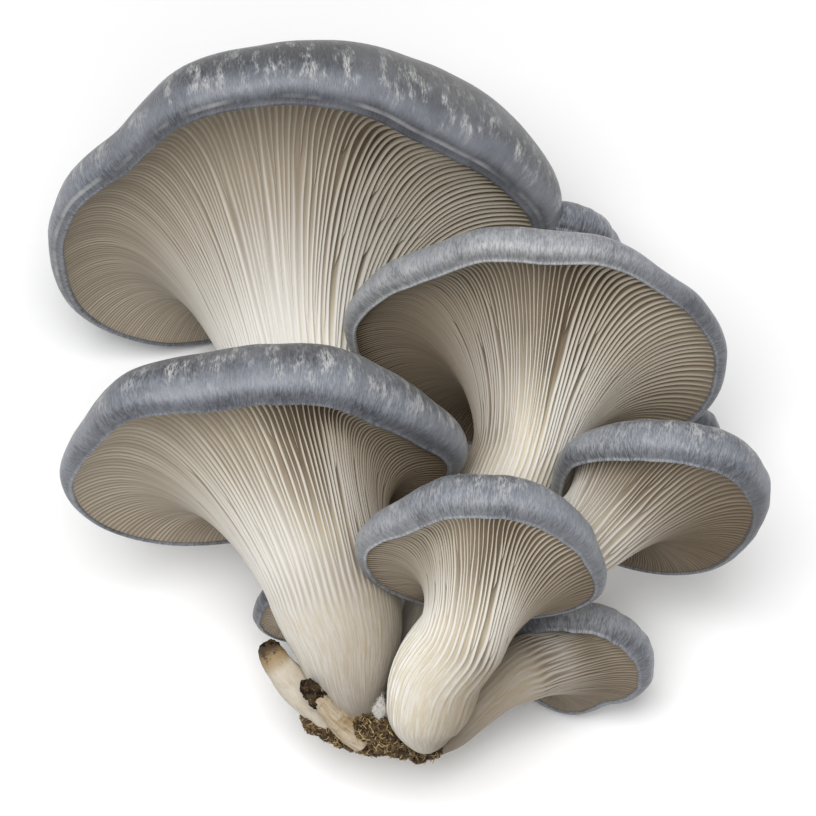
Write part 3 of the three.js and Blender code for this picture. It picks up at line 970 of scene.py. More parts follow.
@dataclass
class Mushroom:
    """One mushroom, with the sizes of its solids and its real number of gills.

    The lists go round the cap's edge in even steps, from the right over the near side. Lengths
    are in millimetres and angles in degrees. Along the flesh, the share of the way is -1 at the
    foot, 0 at the neck and 1 at the edge of the cap.

    Attributes:
        name: Name of the mushroom, as in its solids.
        gills: Number of gills.
        stem: Route of the stem with its radii, from the foot to the neck.
        tip: How far the cap tips back, so that its gills face the viewer.
        roll: How far it tips to the right.
        centre: Middle of the cap's edge.
        reach: Distance of the edge from the middle.
        rise: Height of the shoulder over the edge.
        bulge: How far the rolled margin stands out past the edge.
        throat: How far the gill side is drawn on in the stem's direction past the neck.
        crown: Height of the middle of the cap's top.
        lift: How far the edge stands out of its plane.
        inset: How far the shoulder lies inside the edge, as a share of the reach.
        curl: Angle at which the gill side meets the edge.
        long_share: Share of the gills that run on down the stem.
        late: How much further out the shorter gills begin, as a share of the way.
        depth: Height of the gills.
        gill_rows: Rows of points from the neck to the edge.
        stem_rows: Rows of points on the stem.
        seed: Start of all that is random.
        lip: Radius of the thin lip round the edge.
        wave: Size of the ripples of the edge.
        sway: How far the gills stray from straight lines, as a share of their room.
        spacing: Room of a gill, next to the others.
        relief: How deep and open the grooves are on the cap.
        dusk: How much painted shade darkens the gill side's colour.
        ridge: Height of the ridges at the neck and on the stem, next to that of the gills.
        stem_gape: How deep and open the grooves are on the stem.
        stem_dusk: How much painted shade darkens the stem's colour.
        neck_dusk: How much painted shade darkens the neck's colour.
        bloom: Pale frost on the skin, raised where it also serves as a painted highlight on the lit band;
            below nought, painted shade on the skin's shaded sides.
        crease: How clearly a painted highlight, a pale line along a fold of the rolled margin, runs beside
            the lip.
    """

    name: str
    gills: int
    stem: Sequence[Row]
    tip: float
    roll: float
    centre: tuple[float, float, float]
    reach: Sequence[float]
    rise: Sequence[float]
    bulge: Sequence[float]
    throat: Sequence[float]
    crown: float
    lift: Sequence[float] = (0.0,)
    inset: Sequence[float] = (0.15,)
    curl: Sequence[float] = (50.0,)
    long_share: float = 0.36
    late: float = 0.0
    depth: float = 1.0
    gill_rows: int = 52
    stem_rows: int = 16
    seed: int = 1
    lip: float = 0.5
    wave: float = 0.15
    sway: float = 0.05
    spacing: Sequence[float] = (1.2, 1.5, 1.35, 1.0, 0.7, 0.5, 0.5, 0.8)
    relief: Sequence[float] = (0.5, 0.6, 0.7, 0.95, 0.7, 0.4, 0.3, 0.3, 0.3, 0.3, 0.35, 0.4,
                               0.4, 0.4, 0.4, 0.45)
    dusk: Sequence[float] = (0.2, 0.0, 0.0, 0.05, 0.2, 0.2, 0.2, 0.2)
    ridge: float = 1.0
    stem_gape: float = 0.7
    stem_dusk: Sequence[float] = (0.3,)
    neck_dusk: Sequence[float] = (0.3,)
    bloom: Sequence[float] = (0.0,)
    crease: float = 0.0

    # How strongly the gill side keeps its direction at the edge, as a share of the reach
    FLARE: ClassVar[float] = 0.55
    # Places of the columns of a gill, of which a half is its crest and nought the groove
    ACROSS: ClassVar[Row] = (0.0, 0.23, 0.41, 0.59, 0.77)
    # Gaps between gills: in millimetres, and the least and most as shares of it
    USUAL_GAP: ClassVar[float] = 1.35
    GAP_LIMITS: ClassVar[Row] = (0.4, 1.5)
    # Shares of the way between which the gills of each kind begin
    STARTS: ClassVar[dict[BladeKind, Row]] = {
        BladeKind.LONG: (-0.95, -0.3), BladeKind.MEDIUM: (0.04, 0.24), BladeKind.SHORT: (0.28, 0.62)}
    # Height of the gills and depth of the grooves along the way
    PROFILE_WAY: ClassVar[Row] = (-1.0, -0.86, -0.45, 0.0, 0.3, 0.65, 0.93, 1.0)
    PROFILE_RISE: ClassVar[Row] = (0.0, 0.08, 0.1, 0.15, 0.5, 1.0, 0.45, 0.0)
    PROFILE_SINK: ClassVar[Row] = (0.0, 0.08, 0.1, 0.15, 0.5, 1.1, 0.5, 0.1)
    # Height in millimetres and fineness of the small unevenness of the flesh
    UNEVENNESS: ClassVar[float] = 0.18
    UNEVEN_SCALE: ClassVar[float] = 160.0
    # Ripples round the edge, and bends of a gill along the way
    RIPPLE_COUNTS: ClassVar[Row] = (7, 11, 17, 26)
    RIPPLE_SIZES: ClassVar[Row] = (0.5, 0.35, 0.3, 0.2)
    SWAY_RATES: ClassVar[Row] = (0.6, 1.1, 1.9, 3.7)
    # The skin's grid, with the arc of the lip in degrees
    SKIN_COLUMNS: ClassVar[int] = 360
    LIP_ARC: ClassVar[Row] = (150.0, 320.0)
    LIP_ROWS: ClassVar[int] = 7
    MARGIN_ROWS: ClassVar[int] = 20
    TOP_ROWS: ClassVar[int] = 24
    # Handles of the margin's curve as shares of the bulge, and of the top's as shares of the reach
    MARGIN_HANDLES: ClassVar[Row] = (1.4, 1.25)
    TOP_HANDLES: ClassVar[Row] = (0.35, 0.25)
    # How far the lip covers the margin, in lip radii, and the margin's first speed, in bulges
    LIP_COVER: ClassVar[float] = 1.5
    MARGIN_SPEED: ClassVar[float] = 4.2

    def __post_init__(self) -> None:
        """Work out the directions of the cap."""
        lean, side = math.radians(self.tip), math.radians(self.roll)
        self.axis = np.array([math.sin(side) * math.cos(lean), math.cos(side) * math.cos(lean),
                              -math.sin(lean)])
        self.right = np.array([math.cos(side), -math.sin(side), 0.0])
        self.near = np.cross(self.right, self.axis)
        self.random = np.random.default_rng(self.seed)
        self.phases = self.random.uniform(0.0, TURN, 4)

    def outward(self, turn: Array) -> Array:
        """Directions away from the cap's middle."""
        angle = (TURN * turn)[..., None]
        return np.cos(angle) * self.right + np.sin(angle) * self.near

    def edge(self, turn: Array) -> tuple[Array, Array]:
        """The edge of the cap.

        Args:
            turn: Shares of the turn.

        Returns:
            Points of the edge and their distances from the middle.
        """
        waves = zip(self.RIPPLE_COUNTS, self.RIPPLE_SIZES, self.phases)
        ripple = sum(size * np.sin(TURN * count * turn + phase) for count, size, phase in waves)
        reach = around(self.reach, turn) + self.wave * (ripple - 0.4)
        lift = around(self.lift, turn) + 0.5 * self.wave * ripple
        point = (np.asarray(self.centre) + self.outward(turn) * reach[..., None]
                 + lift[..., None] * self.axis)
        return point, reach

    def gill_side(self, turn: Array, share: Array) -> Array:
        """Points of the gill side before it is folded.

        Args:
            turn: Shares of the turn, rows by columns.
            share: Shares of the way from the neck to the edge, one a row.

        Returns:
            Points, rows by columns by three.
        """
        out = self.outward(turn)
        edge, reach = self.edge(turn)
        neck = tube(self.stem, np.ones(len(turn)), self.right, turn)
        ahead = around(self.throat, turn)[..., None]
        throat = neck + direction_along(self.stem, np.ones(1))[0] * ahead
        curl = np.radians(around(self.curl, turn))[..., None]
        arch = edge + self.FLARE * reach[..., None] * (np.sin(curl) * self.axis - np.cos(curl) * out)
        return cubic(neck, throat, arch, edge, share[:, None, None])

    def starts(self) -> tuple[Array, Array]:
        """Choose how long each gill is.

        Returns:
            The kind of each gill and the share of the way at which it begins.
        """
        order = np.arange(self.gills)
        kinds = np.full(self.gills, BladeKind.SHORT.value)
        kinds[np.cumsum(order % 2) % 2 == 0] = BladeKind.MEDIUM.value
        longer = np.floor((order + 1) * self.long_share) > np.floor(order * self.long_share)
        kinds[longer] = BladeKind.LONG.value
        starts = np.zeros(self.gills)
        for kind, (low, high) in self.STARTS.items():
            chosen = kinds == kind.value
            shift = 0.0 if kind == BladeKind.LONG else self.late
            starts[chosen] = self.random.uniform(low, high, chosen.sum()) + shift
        return kinds, starts

    def gaps(self) -> tuple[Array, Array]:
        """Share out the edge of the cap.

        Returns:
            The share of the turn that each gill has, and its gap as a share of the usual one.
        """
        middle = (np.arange(self.gills) + 0.5) / self.gills
        for _ in range(8):
            wide = around(self.spacing, middle)
            middle = (np.cumsum(wide) - wide / 2) / wide.sum()
        wide = wide / wide.sum()
        gap = TURN * around(self.reach, middle) * wide
        return wide, np.clip(gap / self.USUAL_GAP, *self.GAP_LIMITS)

    def columns(self, path: Array) -> tuple[Array, ...]:
        """Lay the gills out round the cap.

        Args:
            path: Shares of the way, below nought on the stem, one a row.

        Returns:
            The turn of each column, its place across its gill, how far the gill has grown, how
            coarse it is and how dull.
        """
        kinds, starts = self.starts()
        way = path[:, None]
        is_long = (kinds == BladeKind.LONG.value)[None]
        grown = np.where(is_long, smooth(way - starts, 0.0, 0.5), smooth(way - starts, -0.02, 0.05))
        wide, coarse = self.gaps()
        room = np.where(is_long, 1.0, 0.1 + 0.9 * smooth(way - starts, -0.02, 0.24))
        room = room * wide * self.random.uniform(0.8, 1.2, self.gills)
        begin = np.cumsum(room, axis=1) - room
        drift = self.random.uniform(0.0, TURN, (4, self.gills))
        sway = sum(np.sin(TURN * rate * way + shift) for rate, shift in zip(self.SWAY_RATES, drift))
        across = np.asarray(self.ACROSS)
        widen = 0.6 + 0.4 * smooth(way, 0.75, -0.05)
        place = 0.5 + (across[None] - 0.5) * np.where(across == 0.0, 1.0, widen)
        lean = self.sway * sway[:, :, None] * (across > 0.0)
        run = begin[:, :, None] + room[:, :, None] * (place[:, None, :] + lean)
        turn = self.hold(run, begin + room / 2, room.sum(axis=1), np.flatnonzero(is_long[0]), wide, path)
        shape = (len(path), -1)
        return (turn.reshape(shape), np.broadcast_to(across, turn.shape).reshape(shape),
                np.repeat(grown, len(across), axis=1), np.repeat(coarse, len(across))[None],
                np.repeat(self.random.uniform(0.0, 1.0, self.gills), len(across))[None])

    def hold(self, run: Array, middle: Array, total: Array, held: Array, wide: Array, path: Array) -> Array:
        """Turn places in a running sum of rooms into shares of the turn, long gills kept in line.

        Args:
            run: Places in the running sum, rows by gills by columns of a gill.
            middle: Middle of each gill in the running sum, rows by gills.
            total: The whole sum of each row.
            held: Numbers of the long gills.
            wide: Share of the turn that each gill has at the edge.
            path: Shares of the way, one a row.

        Returns:
            Shares of the turn in the shape of `run`.
        """
        count = self.gills
        fixed = np.cumsum(wide) - wide / 2
        order = (np.arange(len(held)) + 0.5) * count / len(held)
        order = order + (held - order).mean()
        thrice = np.concatenate([fixed - 1.0, fixed, fixed + 1.0])
        even = np.interp(order, np.arange(-count, 2 * count), thrice)
        share = smooth(path, 0.9, -0.2)[:, None]
        places = (1.0 - share) * fixed[held] + share * even
        places = np.concatenate([places - 1.0, places, places + 1.0], axis=1)
        known = middle[:, held]
        known = np.concatenate([known - total[:, None], known, known + total[:, None]], axis=1)
        return np.stack([np.interp(*row) for row in zip(run, known, places)])

    def grain(self, turn: Array, distance: Array) -> Array:
        """Coordinates in millimetres that run round the piece and along it."""
        round_it = np.mean(np.asarray(self.reach)) * 0.7
        return np.stack([round_it * np.cos(TURN * turn), round_it * np.sin(TURN * turn), distance], axis=-1)

    def flesh(self, tree: Tree, finish: Material) -> Piece:
        """Make the stem and the gill side as one folded surface.

        Args:
            tree: The tree that folds gills.
            finish: Its material.

        Returns:
            The plain mesh object.
        """
        stem_path = np.linspace(-1.0, 0.0, self.stem_rows, endpoint=False)
        gill_path = np.linspace(0.0, 1.0, self.gill_rows)
        path = np.concatenate([stem_path, gill_path])
        turn, across, grown, coarse, dull = self.columns(path)
        split = len(stem_path)
        points = np.vstack([tube(self.stem, 1.0 + stem_path, self.right, turn[:split]),
                            self.gill_side(turn[split:], gill_path)])
        way = path[:, None] + 0.0 * turn
        low = self.ridge * smooth(way, 0.35, 0.0) + smooth(way, 0.0, 0.35)
        rise = low * np.interp(way, self.PROFILE_WAY, self.PROFILE_RISE)
        sink = low * np.interp(way, self.PROFILE_WAY, self.PROFILE_SINK)
        gape = around(self.relief, turn)
        gape = gape + (self.stem_gape - gape) * smooth(way, 0.45, 0.0)
        scale = self.depth * coarse * gape * MM
        # Painted shade: how much the flesh's colour is darkened on the stem, at the neck and on the gill
        # side.
        dusk = around(self.stem_dusk, turn)
        dusk = dusk + (around(self.neck_dusk, turn) - dusk) * smooth(way, -0.45, 0.1)
        dusk = dusk + (around(self.dusk, turn) - dusk) * smooth(way, 0.0, 0.5)
        sheet = Sheet(points, {
            "across": across, "vigour": grown, "rise": rise * scale, "sink": sink * scale,
            "path": way, "dull": dull + 0.0 * way, "outward": LIE.turned(normals_of(points)),
            "gape": gape * np.sqrt(np.minimum(coarse, 1.0)), "dusk": dusk,
            "grain": self.grain(turn, travelled(points))}, start=points[0].mean(axis=0))
        return apply_tree(sheet.object(f"flesh_{self.name}"), tree, {
            "Finish": finish, "Seed": float(self.seed), "Unevenness": self.UNEVENNESS * MM,
            "Uneven scale": self.UNEVEN_SCALE})

    def skin(self, finish: Material) -> Piece:
        """Make the lip, the rolled margin and the top of the cap.

        Args:
            finish: Its material.

        Returns:
            The plain mesh object.
        """
        circle = np.arange(self.SKIN_COLUMNS) / self.SKIN_COLUMNS
        out = self.outward(circle)
        edge, reach = self.edge(circle)
        bulge = around(self.bulge, circle)[:, None]
        inset = around(self.inset, circle)[:, None] * reach[:, None]
        shoulder = edge - inset * out + around(self.rise, circle)[:, None] * self.axis
        crown = np.asarray(self.centre) + self.crown * self.axis
        rows = []
        for angle in np.radians(np.linspace(*self.LIP_ARC, self.LIP_ROWS)):
            rows.append(edge + self.lip * ((0.4 + math.cos(angle)) * out + math.sin(angle) * self.axis))
        first = self.LIP_COVER * self.lip / (self.MARGIN_SPEED * bulge)
        leave, arrive = self.MARGIN_HANDLES
        for step in np.linspace(0.0, 1.0, self.MARGIN_ROWS):
            share = first + (1.0 - first) * step
            rows.append(cubic(edge, edge + leave * bulge * out,
                              shoulder + (inset + arrive * bulge) * out, shoulder, share))
        inward, level = self.TOP_HANDLES
        for share in np.linspace(0.0, 1.0, self.TOP_ROWS, endpoint=False)[1:]:
            rows.append(cubic(shoulder, shoulder - inward * reach[:, None] * out,
                              crown + level * reach[:, None] * out, crown, share))
        points = np.stack(rows)
        from_lip = travelled(points)
        turn = even_turns(*from_lip.shape)
        sheet = Sheet(points, {"from_lip": from_lip, "grain": self.grain(turn, from_lip),
                               "bloom": around(self.bloom, turn),
                               "crease": np.full(turn.shape, self.crease)}, end=crown)
        obj = sheet.object(f"skin_{self.name}")
        obj.data.materials.append(finish)
        return obj


MUSHROOMS = [
    Mushroom(
        name="front", stem_dusk=[1, 1, 0.62, 0.3, 0.15, 0.3, 0.5, 0.9],
        neck_dusk=[1, 0.9, 0.48, 0.28, 0.28, 0.5, 0.6, 0.8], stem_gape=0.8,
        relief=[0.6, 0.7, 0.75, 0.95, 0.85, 0.6, 0.75, 1, 1, 1, 0.95, 0.8, 0.6, 0.5, 0.5, 0.55],
        bloom=[0.05, 0.1, 0.3, 0.5, 0.5, 0.3, 0, 0], dusk=[0.75, 0.25, 0, 0.2, 0.7, 0.8, 0.75, 0.95],
        ridge=2.6, gills=150, seed=5, depth=0.9, gill_rows=48, stem_rows=20, long_share=0.42,
        stem=[(4.6, -74.6, 8, 0.8), (4.2, -72.5, 9.5, 4.6), (4, -68, 11.5, 8.2), (5, -62.2, 15, 9.6),
              (6.9, -56, 19, 9.7), (11.2, -49.8, 23.5, 9.6)],
        tip=32, roll=4, centre=(16.5, -32.4, 30),
        reach=[22, 19, 18.5, 18, 18.5, 19, 25, 26, 24, 24, 26, 27],
        rise=[9, 10, 11, 11, 11, 10, 8, 8, 8, 8, 8, 8], bulge=[3, 4, 4, 4, 4, 4, 3, 3, 3, 3, 3, 3],
        curl=[-26, -3, 30, 50, 45, 32, 10, 0, -10, -20, -28, -24],
        throat=[2, 5, 9, 11, 10, 7, 4, 3, 4, 5, 3, 2], crown=5, lip=0.4),
    Mushroom(
        name="left", stem_dusk=[0.8, 0.82, 0.8, 0.52, 0.28, 0.4, 0.5, 0.7],
        neck_dusk=[1, 0.9, 0.65, 0.45, 0.33, 0.4, 0.5, 0.9], stem_gape=0.35,
        spacing=[0.65, 0.85, 1.15, 1, 0.75, 0.55, 0.5, 0.5],
        relief=[0.4, 0.5, 0.65, 0.9, 0.75, 0.35, 0.28, 0.28, 0.3, 0.35, 0.4, 0.4, 0.4, 0.4, 0.4, 0.4],
        bloom=[-0.3, -0.2, -0.1, 0, 0, 0, 0, -0.2], dusk=[1, 0.65, 0.1, 0.12, 0.25, 0.35, 0.5, 0.95],
        ridge=0.8, gills=200, seed=3, depth=1.0, gill_rows=60, stem_rows=20, long_share=0.5,
        stem=[(-9.6, -69, 2, 4.5), (-12.2, -61.5, 3, 8.4), (-13.6, -50, 4, 12.5), (-16, -40.2, 5, 14.5)],
        tip=30, roll=-3, centre=(-29.2, -15.4, 2),
        reach=[38.2, 33.6, 31.5, 33, 33, 33.5, 41.5, 42, 44.8, 43.3, 37.8, 30.2, 26, 25, 28, 33.6],
        rise=[12, 14, 16, 16, 16, 15.8, 13.4, 10.2, 8.4, 7, 7, 8, 8, 8, 8, 10],
        bulge=[5, 6, 6, 6, 5, 5, 4.5, 4, 3, 2.5, 2.5, 3, 3, 3, 3, 4],
        inset=[0.14], curl=[10, 22, 36, 50, 56, 56, 52, 42, 34, 30, 30, 30, 28, 18, 5, 5],
        throat=[4, 7, 11, 14, 14, 13, 11, 9, 8, 8, 8, 8, 8, 6, 4, 3], crown=6),
    Mushroom(
        name="upper_right", stem_dusk=[0.9, 0.85, 0.55, 0.6, 0.9, 0.9, 0.9, 0.9],
        neck_dusk=[0.5, 0.4, 0.18, 0.74, 1, 1, 0.9, 0.7],
        relief=[0.45, 0.5, 0.7, 1, 0.65, 0.55, 0.75, 0.95, 1, 1, 0.85, 0.6, 0.4, 0.4, 0.4, 0.4],
        bloom=[0, 0.2, 1.1, 1.6, 0.9, 0.3, 0, 0], dusk=[0.4, 0.1, 0.05, 0.6, 0.95, 0.95, 0.9, 1],
        ridge=1.3, gills=230, seed=2, depth=1.0, gill_rows=52, stem_rows=14,
        stem=[(3, -70, -8, 7), (8, -52, -10, 11), (16, -32, -12, 11), (24, -12, -13, 10.4)],
        tip=33, roll=6, centre=(27.2, 14.1, -14),
        reach=[41.6, 39.3, 37, 36.5, 32, 33, 32, 35, 39, 39.5, 42, 47, 34, 29, 38, 42.6],
        lift=[0, 0, 0, 0, 0, 0, 0, 0, 0, 0, 0, 0, -2, -5, -5, -3],
        curl=[5, 12, 25, 40, 48, 46, 42, 38, 34, 30, 25, 20, 15, 5, -5, -2],
        rise=[7, 8, 7, 8.6, 10, 10, 10, 10, 8, 8, 8, 8, 8, 8, 8, 7],
        bulge=[3, 3, 3, 3.5, 4, 4, 4, 4, 3.5, 3, 3, 3, 3, 3, 3, 3],
        throat=[4, 5, 7, 10, 13, 12, 10, 9, 8, 8, 8, 8, 8, 6, 4, 4], crown=4, lip=0.45),
    Mushroom(
        name="right", stem_dusk=[0.9, 0.75, 0.6, 0.6, 0.6, 0.8, 0.9, 1],
        neck_dusk=[0.9, 0.6, 0.4, 0.4, 0.5, 0.7, 0.9, 1],
        relief=[0.4, 0.4, 0.4, 0.45, 0.6, 0.55, 0.5, 0.45, 0.4, 0.4, 0.4, 0.4, 0.4, 0.4, 0.4, 0.4],
        bloom=[-1, -0.45, 0.1, 0.6, 0.8, 0.3, 0, -0.5], dusk=[1, 0.8, 0.45, 0.4, 0.5, 0.7, 0.9, 1],
        ridge=1.4, gills=150, seed=4, depth=0.9, gill_rows=44,
        stem=[(4, -68, -8, 5), (13, -54, -9, 6.6), (27.5, -37.5, -5, 7.4), (39.5, -27.4, 2, 9.4)],
        tip=33, roll=12, centre=(55.7, -22.8, 4),
        curl=[5, 18, 34, 45, 52, 72, 74, 50, 18, 0, -8, -5],
        reach=[19.6, 21, 22.5, 21, 20.5, 23.8, 22.5, 23.2, 25.4, 25.4, 24, 20.4],
        rise=[9.3, 11, 11.4, 11.3, 11, 9, 8, 8, 8, 8, 8, 8], bulge=[3, 4, 4, 4, 4, 3, 3, 3, 3, 3, 3, 3],
        throat=[3, 4, 6, 7, 7, 6, 5, 4, 4, 3, 2, 2], crown=4, lip=0.4),
    Mushroom(
        name="lower_right", stem_dusk=[1], neck_dusk=[0.92], stem_gape=0.45, relief=[0.45],
        bloom=[0, 0.1, 0.6, 0.9, 0.4, 0, 0, 0], dusk=[0.8, 0.7, 0.55, 0.6, 0.65, 0.65, 0.75, 0.75],
        ridge=1.2, gills=140, seed=6, depth=0.8, gill_rows=36,
        stem=[(6, -75, 0, 2), (9.2, -71.5, 0, 4), (14.3, -65.5, 0, 5.5), (20, -60.5, -1, 6.3),
              (26, -57.5, -3, 7.3)],
        tip=42, roll=16, centre=(39.5, -58.3, -8),
        reach=[12, 12, 12.5, 13, 13.5, 15.5, 17.5, 17.5, 16.5, 15.5, 11, 11.5],
        rise=[9, 9, 9, 9, 9, 8, 8, 7, 7, 7, 7, 8], bulge=[3],
        curl=[0, 12, 26, 36, 40, 36, 28, 12, -5, -20, -25, -15],
        throat=[3, 4, 6, 7, 7, 6, 5, 4, 3, 3, 2, 2], crown=3, lip=0.35, wave=0.2),
    Mushroom(
        name="lower_left", gills=56, seed=7, depth=0.7, gill_rows=24,
        stem=[(-8, -67, -8, 4), (-14, -58, -9, 4), (-20, -52, -10, 4.5)],
        tip=35, roll=-10, centre=(-22.8, -46.2, -11), reach=[10.2], rise=[5], bulge=[1.5],
        throat=[3], curl=[40], crown=3, lip=0.3, wave=0.15),
    Mushroom(
        name="top", crease=1, late=0.06, stem_dusk=[0], neck_dusk=[0], stem_gape=0.5,
        relief=[0.6, 0.8, 1, 0.55, 0.25, 0.22, 0.25, 0.25, 0.3, 0.3, 0.35, 0.4, 0.4, 0.4, 0.45, 0.55],
        bloom=[-0.6, -0.7, -0.6, -0.15, 0.15, 0, 0, -0.3],
        dusk=[0.2, 0.3, 0, 0.12, 0.26, 0.15, 0.15, 0.2], ridge=1.2, gills=290, seed=1, depth=1.2,
        gill_rows=50, stem_rows=10,
        stem=[(-2, -70, -16, 7), (-8, -52, -25.5, 9.5), (-17, -25, -37, 11.5), (-24, 2, -41, 14)],
        tip=35, roll=-4, centre=(-27, 36, -42),
        reach=[56, 51, 47.2, 49.6, 51.5, 53.5, 48.2, 51.8, 52, 52, 47.5, 42, 38, 42, 50, 55],
        lift=[1.5, 1.2, 1, 2, 1.8, -0.3, 0, 0, 0, 0, 1, 5, 6, 5, 3, 1.5],
        rise=[19.5, 24.8, 25, 21.2, 18.4, 18.2, 14.4, 13.4, 9.4, 8, 8, 9, 9, 10, 11, 14],
        bulge=[8, 8, 8, 7, 6, 5, 5, 4, 4, 3.5, 3, 3, 3, 3, 4, 6],
        inset=[0.14, 0.13, 0.12, 0.1, 0.1, 0.12, 0.14, 0.15, 0.15, 0.18, 0.2, 0.2, 0.2, 0.2, 0.2, 0.18],
        curl=[20, 32, 44, 54, 58, 55, 50, 46, 42, 40, 40, 38, 34, 26, 15, 14],
        throat=[7, 10, 15, 20, 21, 18, 15, 12, 10, 12, 14, 13, 10, 7, 5, 5], crown=9, lip=0.55, wave=0.2),
    Mushroom(
        name="back", gills=70, seed=8, depth=0.7, gill_rows=28,
        stem=[(3, -66, -20, 5), (14, -35, -36, 6.5), (26, -5, -50, 7), (33.5, 16, -58, 7.5)],
        tip=35, roll=8, centre=(34.6, 34.2, -57),
        reach=[13, 12, 12, 12, 12, 12, 12, 12, 12, 12, 12, 13], rise=[9], bulge=[2.5],
        throat=[5], curl=[40], crown=4, lip=0.35, wave=0.2),
    Mushroom(
        name="back_right", gills=66, seed=9, depth=0.7, gill_rows=28,
        stem=[(5, -66, -15, 4), (24, -46, -30, 5), (43, -28, -43, 5), (53, -18.5, -48.5, 5)],
        tip=35, roll=10, centre=(59.7, -8, -51), reach=[10], rise=[7], bulge=[2.5],
        throat=[4], curl=[40], crown=3, lip=0.35, wave=0.2),
]


@dataclass(frozen=True)
class Roughness:
    """Lumps and pits of a surface: their heights in millimetres and how fine they are."""

    lump: float
    lump_scale: float
    pit: float
    pit_scale: float
    seed: float

    def on(self, obj: Piece, tree: Tree, finish: Material) -> Piece:
        """Roughen an object.

        Args:
            obj: The object, which is used up.
            tree: The tree that roughens a surface.
            finish: Its material.

        Returns:
            The plain mesh object.
        """
        return apply_tree(obj, tree, {
            "Lump height": self.lump * MM, "Lump scale": self.lump_scale,
            "Pit height": self.pit * MM, "Pit scale": self.pit_scale,
            "Seed": self.seed, "Finish": finish})


